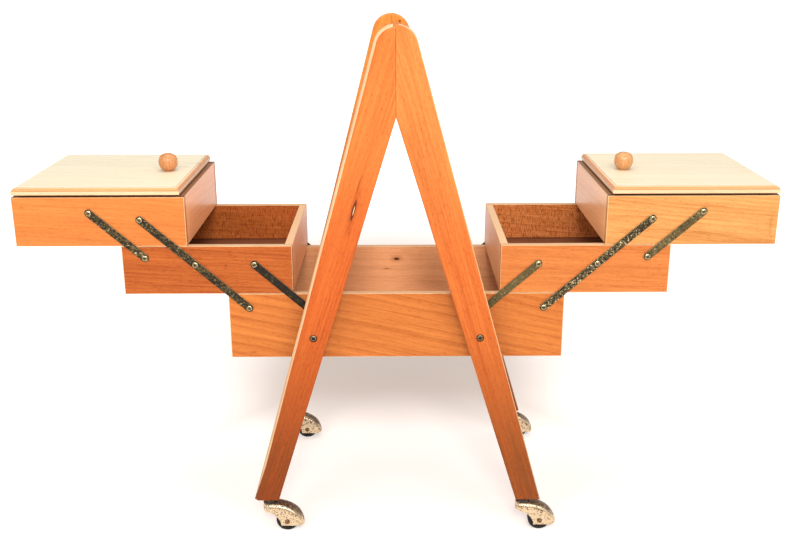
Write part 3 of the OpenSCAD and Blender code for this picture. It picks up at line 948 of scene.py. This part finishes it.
class SEWINGBOX_OT_handle(bpy.types.Operator):
    """Make the handle dowel and the leg spacers"""

    bl_idname = "sewing_box.handle"
    bl_label = "Handle"

    def execute(self, context):
        pieces = (("handle", "handle_dowel", 0.6 * MM, 80.0, (1, 1, 1)),
                  ("spacers", "leg_spacers", 0.5 * MM, 84.0, (0.9, 0.8, 0.75)))
        for name, node, radius, seed, tint in pieces:
            bm = cad_copy(node)
            mesh = eased_mesh(bm, node, ease_edges(bm, radius))
            shade_smooth(mesh)
            mark_grain(mesh, Y_AXIS, Z_AXIS, middle_of(node), (9 * MM, 25 * MM), 0.02, seed, tint)
            new_piece(name, mesh, body_of(node), "turned_beech", node)
        return {"FINISHED"}


# ---------------------------------------------------------------- lids and knobs

# Rings of faces on the square edge, below the step
STEP_RING = 7


def lid_profile(thickness):
    """(inset, height) pairs up a lid's edge: arris, square, step, quarter round and riser."""
    edge_h = 4.8 * MM
    step = 0.8 * MM
    riser = 0.6 * MM
    arris = settings().shape.lid_arris
    round_r = thickness - edge_h - riser
    points = arc((arris, arris), arris, 270, 180, 3)
    points += arc((arris, edge_h - arris), arris, 180, 90, 3)
    points += arc((step + round_r, edge_h), round_r, 180, 90, 9)
    points += [(step + round_r + 0.1 * MM, thickness), (step + round_r + 0.9 * MM, thickness)]
    return points


class SEWINGBOX_OT_lids(bpy.types.Operator):
    """Make the two lids with their moulded edges"""

    bl_idname = "sewing_box.lids"
    bl_label = "Lids"

    def execute(self, context):
        for index, side in enumerate(SIDES):
            node = f"{side}_lid"
            low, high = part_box(node)
            profile = lid_profile(high.z - low.z)
            rings = []
            for inset, height in profile:
                z = low.z + height
                rings.append([
                    Vector((low.x + inset, low.y + inset, z)),
                    Vector((high.x - inset, low.y + inset, z)),
                    Vector((high.x - inset, high.y - inset, z)),
                    Vector((low.x + inset, high.y - inset, z))])
            mesh = mesh_from(loft(rings), node)
            rings_up = [face // 4 for face in range(len(mesh.polygons))]
            set_faces(mesh, "edge", [self.darkening(ring, len(profile)) for ring in rings_up])
            set_faces(mesh, "grime_and_shade", [self.painted_shade(ring, len(profile)) for ring in rings_up])
            shade_smooth(mesh)
            mark_grain(mesh, X_AXIS, Y_AXIS, middle_of(node), (60 * MM, 70 * MM), 0.05,
                       90.0 + 2.1 * index, ((1, 1, 1), (1.0, 0.98, 0.97))[index],
                       (0.3, 0.6, 1.1))
            new_piece(node + "_panel", mesh, body_of(node), "lid_beech", node)
        return {"FINISHED"}

    @staticmethod
    def darkening(ring, count):
        """How orange a ring of faces is: the square edge, the quarter round, then its top."""
        if ring < STEP_RING + 1:
            return 0.6
        if ring < count - 6:
            return 1.0
        return 0.35 if ring < count - 2 else 0.0

    @staticmethod
    def painted_shade(ring, count):
        """Soiling and painted shade in the step below the quarter round and along the riser above it.
        """
        return {STEP_RING: 0.7, STEP_RING + 1: 0.5, count - 3: 0.3, count - 2: 0.1}.get(ring, 0.0)


class SEWINGBOX_OT_knobs(bpy.types.Operator):
    """Make the turned egg-shaped knobs"""

    bl_idname = "sewing_box.knobs"
    bl_label = "Knobs"

    def execute(self, context):
        # Radius and height as shares of the knob's own
        outline = [(0.46, 0.0), (0.50, 0.02), (0.56, 0.05), (0.72, 0.12), (0.86, 0.22),
                   (0.955, 0.34), (0.995, 0.46), (0.995, 0.56), (0.955, 0.68), (0.87, 0.785),
                   (0.74, 0.87), (0.56, 0.94), (0.36, 0.98), (0.17, 0.996), (0.05, 1.0)]
        for index, side in enumerate(SIDES):
            node = f"{side}_knob"
            low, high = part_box(node)
            middle = (low + high) / 2
            radius = (high.x - low.x) / 2
            height = high.z - low.z
            profile = [(r * radius, h * height) for r, h in outline]
            bm = lathe(profile, (middle.x, middle.y, low.z), Z_AXIS)
            mesh = mesh_from(bm, node)
            shade_smooth(mesh, math.radians(60))
            mark_grain(mesh, Z_AXIS, X_AXIS, middle, (11 * MM, 16 * MM), 0.05,
                       100.0 + 1.3 * index, ((1, 1, 1), (1.0, 1.14, 1.16))[index])
            new_piece(node + "_turning", mesh, body_of(node), "turned_beech", node)
        return {"FINISHED"}


# ---------------------------------------------------------------- repeated metalwork

def placing_tree():
    """A Geometry Nodes tree that sets a part on each point, turned by the point's own angles."""
    tree = bpy.data.node_groups.new("set_parts_on_points", "GeometryNodeTree")
    side = tree.interface.new_socket
    side("Points", in_out="INPUT", socket_type="NodeSocketGeometry")
    side("Part", in_out="INPUT", socket_type="NodeSocketObject")
    side("Size", in_out="INPUT", socket_type="NodeSocketFloat")
    side("Largest Spin", in_out="INPUT", socket_type="NodeSocketFloat")
    side("Seed", in_out="INPUT", socket_type="NodeSocketInt")
    side("Finish", in_out="INPUT", socket_type="NodeSocketMaterial")
    side("Parts", in_out="OUTPUT", socket_type="NodeSocketGeometry")

    def add(kind, **options):
        made = tree.nodes.new(kind)
        for key, value in options.items():
            setattr(made, key, value)
        return made

    def join(source, out, target, into):
        tree.links.new(source.outputs[out], target.inputs[into])

    given = add("NodeGroupInput")
    result = add("NodeGroupOutput")
    turn = add("GeometryNodeInputNamedAttribute", data_type="FLOAT_VECTOR")
    turn.inputs["Name"].default_value = "turn"
    spin = add("FunctionNodeRandomValue", data_type="FLOAT")
    about = add("ShaderNodeCombineXYZ")
    rotate = add("FunctionNodeRotateEuler", rotation_type="EULER", space="LOCAL")
    part = add("GeometryNodeObjectInfo", transform_space="ORIGINAL")
    place = add("GeometryNodeInstanceOnPoints")
    realize = add("GeometryNodeRealizeInstances")
    paint = add("GeometryNodeSetMaterial")
    join(given, "Largest Spin", spin, 3)
    join(given, "Seed", spin, "Seed")
    join(spin, 1, about, "Z")
    join(turn, "Attribute", rotate, "Rotation")
    join(about, 0, rotate, "Rotate By")
    join(given, "Part", part, "Object")
    join(given, "Points", place, "Points")
    join(part, "Geometry", place, "Instance")
    join(rotate, 0, place, "Rotation")
    join(given, "Size", place, "Scale")
    join(place, 0, realize, 0)
    join(realize, 0, paint, 0)
    join(given, "Finish", paint, "Material")
    join(paint, 0, result, 0)
    return tree


def set_parts(name, part_mesh, places, finish_name, size=1.0, spin=0.0):
    """One mesh of the part at every (point, turn) place, made by the placing tree."""
    tree = bpy.data.node_groups.get("set_parts_on_points") or placing_tree()
    points = bpy.data.meshes.new(name + "_points")
    points.from_pydata([tuple(point) for point, _ in places], [], [])
    set_points(points, "turn", "FLOAT_VECTOR", [tuple(turn) for _, turn in places])
    part = bpy.data.objects.new(name + "_part", part_mesh)
    carrier = bpy.data.objects.new(name + "_carrier", points)
    for helper in (part, carrier):
        bpy.context.scene.collection.objects.link(helper)
    modifier = carrier.modifiers.new("parts", "NODES")
    modifier.node_group = tree
    values = {"Part": part, "Size": size, "Largest Spin": spin,
              "Seed": settings().shape.seed, "Finish": finish(finish_name)}
    for item in tree.interface.items_tree:
        if item.item_type == "SOCKET" and item.name in values:
            modifier[item.identifier] = values[item.name]
    bpy.context.view_layer.update()
    evaluated = carrier.evaluated_get(bpy.context.evaluated_depsgraph_get())
    mesh = bpy.data.meshes.new_from_object(evaluated)
    mesh.name = name
    carrier.modifiers.remove(modifier)
    for helper in (carrier, part):
        bpy.data.objects.remove(helper)
    return mesh


def slotted_head(radius, height, slot_width, slot_depth):
    """A round slotted screw head, facing +Z, with a short shank below."""
    steps = 40
    edge_h = 0.9 * MM
    rise = height - edge_h
    dome_r = (radius ** 2 + rise ** 2) / (2 * rise)
    half = math.degrees(math.asin(min(1.0, radius / dome_r)))
    crown = arc((0.0, height - dome_r), dome_r, 90 - half, 90, 10)[:-1]
    shank = radius * 0.45
    profile = [(shank, -2.0 * MM), (shank, 0.0), (radius * 0.96, 0.0), (radius, 0.12 * MM)]
    profile += [(r, h) for r, h in crown] + [(radius * 0.02, height)]
    bm = lathe(profile, (0, 0, 0), Z_AXIS, steps)
    # A cutter as wide as the slot, taken away from the dome
    head = bpy.data.objects.new("head", mesh_from(bm, "head"))
    cut = bmesh.new()
    bmesh.ops.create_cube(cut, size=1.0, matrix=Matrix.Translation(
        (0, 0, height + 2 * MM - slot_depth)) @ Matrix.Diagonal(
        (radius * 2.4, slot_width, 4 * MM, 1.0)))
    cutter = bpy.data.objects.new("cutter", mesh_from(cut, "cutter"))
    for helper in (head, cutter):
        bpy.context.scene.collection.objects.link(helper)
    boolean = head.modifiers.new("slot", "BOOLEAN")
    boolean.operation = "DIFFERENCE"
    boolean.object = cutter
    boolean.solver = "EXACT"
    bpy.context.view_layer.update()
    evaluated = head.evaluated_get(bpy.context.evaluated_depsgraph_get())
    mesh = bpy.data.meshes.new_from_object(evaluated)
    for helper in (head, cutter):
        bpy.data.objects.remove(helper)
    # The rim gets wear and a painted highlight ring, and the slot is dark
    worn = []
    for face in mesh.polygons:
        reach = math.hypot(face.center.x, face.center.y) / radius
        in_slot = abs(face.center.y) < slot_width * 0.52 and face.center.z < height - 0.1 * MM
        worn.append(0.0 if in_slot else (reach - 0.45) * 1.6)
    set_faces(mesh, "worn", [min(1.0, max(0.0, value)) for value in worn])
    shade_smooth(mesh)
    return mesh


def pivot_points(side):
    """The linkage's pivots as (x, z) pairs, by the body whose screws stand there."""
    fold = joint_at(f"{side}_fold")
    middle = joint_at(f"{side}_mid_level")
    top = joint_at(f"{side}_top_level")
    lower = joint_at(f"{side}_lower_swing")
    upper = joint_at(f"{side}_upper_swing")
    step = middle - fold
    return {"root": [fold, lower], "mid_tray": [middle, lower + step, upper],
            "top_tray": [top, upper + step]}


def facing(face):
    """Euler angles that turn +Z to that face's outward direction."""
    return (math.pi / 2, 0, 0) if face == "front" else (-math.pi / 2, 0, 0)


def head_places(node, points):
    """Places of screw heads on both faces, from the screws' CAD node."""
    low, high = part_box(node)
    head_h = 2.2 * MM
    seats = {"front": low.y + head_h, "back": high.y - head_h}
    return [(Vector((point.x, seats[face], point.z)), facing(face))
            for point in points for face in FACES]


class SEWINGBOX_OT_screws(bpy.types.Operator):
    """Set a slotted screw at every pivot and through every leg"""

    bl_idname = "sewing_box.screws"
    bl_label = "Screws"

    def execute(self, context):
        head = slotted_head(3.5 * MM, 1.9 * MM, 0.9 * MM, 0.9 * MM)
        polish = head.attributes.new("polish", "FLOAT_VECTOR", "POINT")
        sets = [("base_pivot_screws", [p for s in SIDES for p in pivot_points(s)["root"]])]
        for side in SIDES:
            points = pivot_points(side)
            sets.append((f"{side}_mid_pivot_screws", points["mid_tray"]))
            sets.append((f"{side}_top_pivot_screws", points["top_tray"]))
        sets.append(("leg_screws", leg_screw_places()))
        for node, points in sets:
            bright = -0.10 if node == "leg_screws" else 0.35
            for item in polish.data:
                item.vector = (bright, 0.5, 0.0)
            mesh = set_parts(node, head, head_places(node, points), "screw_steel", spin=math.pi)
            new_piece(node + "_set", mesh, body_of(node), "screw_steel", node)
        return {"FINISHED"}


def link_strip(reach, width, thickness, polish):
    """A round-ended strip from its first pivot at the origin along +X, from z = 0 up."""
    outline = arc((0, 0), width / 2, 90, 270, 14) + arc((reach, 0), width / 2, -90, 90, 14)
    bm = loft([[Vector((x, y, z)) for x, y in outline] for z in (0, thickness)])
    ease_edges(bm, settings().shape.link_arris, 2, math.radians(50))
    edge_faces = {face for face in bm.faces if abs(face.normal.z) < 0.98}
    mesh = eased_mesh(bm, "strip", edge_faces)
    set_points(mesh, "polish", "FLOAT_VECTOR", [(*polish, 0.0)] * len(mesh.vertices))
    return mesh


# How bright each pair of links still is, and how strongly it is mottled
LINK_POLISH = {
    "left_long_links": (0.06, 0.70), "left_upper_links": (0.12, 0.75),
    "left_lower_links": (-0.04, 0.30), "right_long_links": (0.16, 0.95),
    "right_upper_links": (0.38, 0.42), "right_lower_links": (0.40, 0.35),
}


class SEWINGBOX_OT_links(bpy.types.Operator):
    """Set the steel link strips between their pivots"""

    bl_idname = "sewing_box.links"
    bl_label = "Links"

    def execute(self, context):
        for side in SIDES:
            pivots = pivot_points(side)
            step = pivots["mid_tray"][0] - pivots["root"][0]
            slope = math.atan2(step.z, step.x)
            starts = {"long_links": (pivots["root"][0], 2), "lower_links": (pivots["root"][1], 1),
                      "upper_links": (pivots["mid_tray"][2], 1)}
            for kind, (start, steps) in starts.items():
                node = f"{side}_{kind}"
                low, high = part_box(node)
                width = (high.x - low.x) - abs(step.x) * steps
                thickness = 1.8 * MM
                strip = link_strip(step.length * steps, width, thickness, LINK_POLISH[node])
                places = [(Vector((start.x, y, start.z)), (math.pi / 2, -slope, 0))
                          for y in (low.y + thickness, high.y)]
                mesh = set_parts(node, strip, places, "link_steel")
                new_piece(node + "_strips", mesh, body_of(node), "link_steel", node)
        return {"FINISHED"}


# ---------------------------------------------------------------- castors

def fork_sections(tail_x, top_z, skirt_z, half_width):
    """Cross-sections of a castor's hood from its neck to its tail, stem at the origin."""
    reach = tail_x - 4 * MM
    neck_x, neck_z, neck_r = -8 * MM, 8 * MM, 21.8 * MM
    stations = [-half_width * math.cos(math.radians(a)) for a in (6, 20, 38, 58, 78)]
    stations += [x * MM for x in (2, 5, 8, 10, 11.5, 12.6, 13.4, 13.9, 16, 20, 24, 28, 31)]
    tail = tail_x - half_width
    stations += [tail + half_width * math.sin(math.radians(a)) for a in (4, 20, 36, 50, 63, 75, 85)]
    sections = []
    for x in stations:
        rise = max(0.0, (x - 4 * MM) / reach)
        crown = skirt_z + (top_z - skirt_z) * math.sqrt(max(0.0, 1 - rise ** 2))
        cut = neck_r ** 2 - (x - neck_x) ** 2
        skirt = neck_z + math.sqrt(cut) if cut > 0 else skirt_z
        skirt = max(skirt, skirt_z)
        if x < 0:
            wide = math.sqrt(max(0.0, half_width ** 2 - x ** 2))
        elif x > tail:
            wide = math.sqrt(max(0.0, half_width ** 2 - (x - tail) ** 2))
        else:
            wide = half_width
        crown = max(crown, skirt + 0.4 * MM)
        band = min(5.2 * MM, (crown - skirt) * 0.55)
        share = wide / half_width
        crease = crown - band
        side = [(wide - 0.9 * MM * share, skirt),
                (wide - 0.75 * MM * share, skirt + (crease - skirt) * 0.5),
                (wide - 0.9 * MM * share, crease - 0.5 * MM * share),
                (wide - 0.5 * MM * share, crease), (wide, crease + band * 0.16),
                (wide - 0.25 * MM * share, crease + band * 0.42), (wide * 0.86, crease + band * 0.72),
                (wide * 0.62, crease + band * 0.92), (wide * 0.30, crease + band * 0.99)]
        half = [Vector((x, -y, z)) for y, z in side]
        other = [Vector((x, y, z)) for y, z in reversed(side)]
        sections.append(half + [Vector((x, 0, crown))] + other)
    return sections


def castor_hood(stem, tail_x, top_z, skirt_z, half_width):
    """The hood's mesh: a thin shell over the wheel, with its neck closed below."""
    sections = fork_sections(tail_x, top_z, skirt_z, half_width)
    bm = loft(sections, closed=False, caps=False)
    # The crease and the top of the dome are brown, the band between them bright
    half = [0.0, 0.05, 0.4, 1.7, 0.3, 0.0, 0.25, 0.6, 0.85, 0.9]
    crest = (half + half[-2::-1]) * len(sections)
    shell = bpy.data.objects.new("shell", mesh_from(bm, "shell"))
    set_points(shell.data, "crest", "FLOAT", crest)
    bpy.context.scene.collection.objects.link(shell)
    solidify = shell.modifiers.new("thickness", "SOLIDIFY")
    solidify.thickness = 1.5 * MM
    solidify.offset = -1.0
    bpy.context.view_layer.update()
    evaluated = shell.evaluated_get(bpy.context.evaluated_depsgraph_get())
    mesh = bpy.data.meshes.new_from_object(evaluated)
    bpy.data.objects.remove(shell)
    mesh.transform(Matrix.Translation((stem.x, stem.y, 0)))
    shade_smooth(mesh, math.radians(50))
    return mesh


def turned_metal(name, profile, base, axis, body, finish_name, crest=0.0, steps=24):
    """A turned metal piece, as brown as crest says."""
    mesh = mesh_from(lathe(profile, base, axis, steps), name)
    set_points(mesh, "crest", "FLOAT", [crest] * len(mesh.vertices))
    shade_smooth(mesh)
    return new_piece(name, mesh, body, finish_name)


class SEWINGBOX_OT_castors(bpy.types.Operator):
    """Make the four hooded castors"""

    bl_idname = "sewing_box.castors"
    bl_label = "Castors"

    def execute(self, context):
        stem_r, stem_h = 4 * MM, 26 * MM
        collar_r, collar_h = 8.0 * MM, 3.2 * MM
        half_width, skirt_z = 10.8 * MM, 9.0 * MM
        axle_r = 2 * MM
        centre_r = 0.1 * MM
        collar = [(collar_r * 0.7, -1.5 * MM), (collar_r * 0.94, 0.0), (collar_r, 0.5 * MM),
                  (collar_r, collar_h * 0.45), (collar_r * 0.9, collar_h * 0.5),
                  (collar_r * 0.9, collar_h), (stem_r, collar_h),
                  (stem_r, collar_h + stem_h - 1 * MM), (3 * MM, collar_h + stem_h)]
        rivet = [(axle_r, -1.0 * MM), (3.4 * MM, -0.6 * MM), (3.4 * MM, 0.0), (3.0 * MM, 0.55 * MM),
                 (1.9 * MM, 0.85 * MM), (1.2 * MM, 0.6 * MM), (centre_r, 0.5 * MM)]
        bar = [(centre_r, 0.0), (axle_r, 0.0), (axle_r, 2 * half_width), (centre_r, 2 * half_width)]
        for face, side in CORNERS:
            name = f"{face}_{side}_castor"
            fork = f"{name}_fork"
            body = body_of(fork)
            stem = joint_at(f"{face}_{side}_swivel")
            axle = joint_at(f"{face}_{side}_roll")
            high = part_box(fork)[1]
            top_z = high.z - stem_h - collar_h
            mesh = castor_hood(stem, high.x - stem.x, top_z, skirt_z, half_width)
            new_piece(f"{name}_hood", mesh, body, "pitted_brass", fork)
            # Painted shade and the dark swivel bearing: the collar is near black
            turned_metal(f"{name}_collar", collar, (stem.x, stem.y, top_z), Z_AXIS, body,
                         "pitted_brass", crest=2.5, steps=40)
            for end, way in (("near", -1), ("far", 1)):
                base = axle + Y_AXIS * (way * half_width)
                turned_metal(f"{name}_rivet_{end}", rivet, base, Y_AXIS * way, body,
                             "pitted_brass", crest=1.0)
            turned_metal(f"{name}_axle", bar, axle - Y_AXIS * half_width, Y_AXIS, body,
                         "plain_brass")
            self.make_wheel(f"{name}_wheel", axle)
        return {"FINISHED"}

    def make_wheel(self, node, axle):
        """A black wheel with a rounded tread and a dished side."""
        low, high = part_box(node)
        radius = (high.z - low.z) / 2
        half = (high.y - low.y) / 2
        tread = 2.5 * MM
        near = [(2.05 * MM, -half), (4.6 * MM, -half), (5.2 * MM, -half + 0.9 * MM),
                (10.4 * MM, -half + 1.1 * MM), (11.0 * MM, -half + 0.1 * MM)]
        near += arc((radius - tread, tread - half), tread, -90, 0, 5)
        far = [(r, -h) for r, h in reversed(near)]
        mesh = mesh_from(lathe(near + far, axle, Y_AXIS, 72, ring=True), node)
        shade_smooth(mesh)
        new_piece(node + "_tyre", mesh, body_of(node), "worn_black", node)


# ---------------------------------------------------------------- hinges and fittings

class SEWINGBOX_OT_fittings(bpy.types.Operator):
    """Finish the hinges and the castor sockets, whose shapes are the frame's own"""

    bl_idname = "sewing_box.fittings"
    bl_label = "Fittings"

    def execute(self, context):
        nodes = ["castor_sockets"]
        nodes += [f"{side}_hinge_{leaf}_leaves" for side in SIDES for leaf in ("fixed", "lid")]
        for node in nodes:
            mesh = frame["nodes"][node].data
            mesh.materials.clear()
            mesh.materials.append(finish("dark_brass" if node == "castor_sockets" else "plain_brass"))
        return {"FINISHED"}


# ---------------------------------------------------------------- stage

def floor_finish(name):
    """Pale floor with a painted glow beside and before the box that clears the shadows there, fading
    into the white backdrop.
    """
    shader = Shader(name)
    place = shader.place()
    cloud = shader.noise(place, (3.0, 3.0, 3.0), 2.0)
    across, behind, _ = shader.split(place)
    aside = across.math("ABSOLUTE").step(0.14, 0.38) * 0.45
    ahead = behind.step(0.34, 0.10) * 0.4
    far = shader.vector("LENGTH", place, (0, 0, 0), "Value").step(0.9, 2.0)
    # Painted light: the floor glows beside and before the box, so shade stays only behind it, where
    # the warm floor colour shows
    away = aside.math("MAXIMUM", ahead).math("MAXIMUM", far)
    floor = tuple(settings().stage.floor)
    base = shader.mix(cloud * 0.3, floor, tuple(c * 0.985 for c in floor))
    shader.surface_inputs(
        Base_Color=base, Roughness=0.9, Specular_IOR_Level=0.1,
        Emission_Color=shader.mix(away, (0, 0, 0), (1, 1, 1)), Emission_Strength=1.0)
    return shader.material


def soft_light(name, place, target, size, power):
    """A large square light aimed at a point."""
    lamp = bpy.data.lights.new(name, "AREA")
    lamp.shape = "SQUARE"
    lamp.size = size
    lamp.energy = power
    holder = bpy.data.objects.new(name, lamp)
    holder.location = place
    holder.rotation_euler = (Vector(target) - Vector(place)).to_track_quat("-Z", "Y").to_euler()
    bpy.context.scene.collection.objects.link(holder)


class SEWINGBOX_OT_stage(bpy.types.Operator):
    """Set up the floor, the lights and the camera"""

    bl_idname = "sewing_box.stage"
    bl_label = "Stage"

    def execute(self, context):
        stage = settings().stage
        scene = context.scene
        bm = bmesh.new()
        bmesh.ops.create_grid(bm, x_segments=1, y_segments=1, size=30.0)
        floor = bpy.data.objects.new("floor", mesh_from(bm, "floor"))
        floor.data.materials.append(floor_finish("pale_floor"))
        scene.collection.objects.link(floor)

        world = bpy.data.worlds.new("studio")
        world.use_nodes = True
        tree = world.node_tree
        background = tree.nodes["Background"]
        background.inputs["Color"].default_value = (1.0, 1.0, 1.0, 1.0)
        seen = tree.nodes.new("ShaderNodeLightPath")
        bright = tree.nodes.new("ShaderNodeMapRange")
        bright.inputs["To Min"].default_value = stage.sky
        bright.inputs["To Max"].default_value = stage.backdrop
        tree.links.new(seen.outputs["Is Camera Ray"], bright.inputs["Value"])
        tree.links.new(bright.outputs["Result"], background.inputs["Strength"])
        scene.world = world
        scene.view_settings.view_transform = "Standard"

        middle = (0, 0, 0.35)
        # Name, place, size and power of each light
        lights = (("left_key", (-1.3, -2.0, 1.75), 1.2, stage.key),
                  ("right_key", (1.3, -2.0, 1.75), 1.2, stage.key),
                  ("front", (0.15, -2.5, 1.85), 0.7, stage.front),
                  ("top", (0.0, 0.1, 2.5), 1.6, stage.top))
        for name, place, size, power in lights:
            soft_light(name, place, middle, size, power)

        camera = bpy.data.objects.new("camera", bpy.data.cameras.new("camera"))
        camera.data.lens = stage.lens
        camera.data.sensor_width = 36.0
        camera.data.clip_end = 50.0
        camera.location = stage.eye
        turn = Matrix.Rotation(stage.pan, 4, "Z") @ Matrix.Rotation(math.pi / 2 - stage.tilt, 4, "X")
        camera.rotation_euler = (turn @ Matrix.Rotation(stage.roll, 4, "Z")).to_euler()
        scene.collection.objects.link(camera)
        scene.camera = camera
        return {"FINISHED"}


# ---------------------------------------------------------------- add-on

STEPS = (
    SEWINGBOX_OT_stage, SEWINGBOX_OT_boards, SEWINGBOX_OT_legs, SEWINGBOX_OT_handle,
    SEWINGBOX_OT_lids, SEWINGBOX_OT_knobs, SEWINGBOX_OT_links, SEWINGBOX_OT_screws,
    SEWINGBOX_OT_castors, SEWINGBOX_OT_fittings,
)


class SEWINGBOX_PT_panel(bpy.types.Panel):
    """Lists the steps and their settings"""

    bl_idname = "SEWINGBOX_PT_panel"
    bl_label = "Sewing Box"
    bl_space_type = "VIEW_3D"
    bl_region_type = "UI"
    bl_category = "Sewing Box"

    def draw(self, context):
        box = context.scene.sewing_box
        for group in (box.wood, box.metal, box.shape, box.stage):
            column = self.layout.column(align=True)
            for name in group.__annotations__:
                column.prop(group, name)
        for step in STEPS:
            self.layout.operator(step.bl_idname)


CLASSES = (
    SewingBoxWood, SewingBoxMetal, SewingBoxShape, SewingBoxStage, SewingBoxSettings,
    *STEPS, SEWINGBOX_PT_panel,
)


def register():
    """Adds the classes and the scene's settings."""
    for made in CLASSES:
        bpy.utils.register_class(made)
    bpy.types.Scene.sewing_box = bpy.props.PointerProperty(
        type=SewingBoxSettings, name="Sewing box", description="Settings of the sewing box")


def unregister():
    """Takes them away again."""
    del bpy.types.Scene.sewing_box
    for made in reversed(CLASSES):
        bpy.utils.unregister_class(made)


def main():
    """Makes the stage and every piece."""
    register()
    for step in STEPS:
        group, name = step.bl_idname.split(".")
        getattr(getattr(bpy.ops, group), name)()


if __name__ == "__main__":
    main()
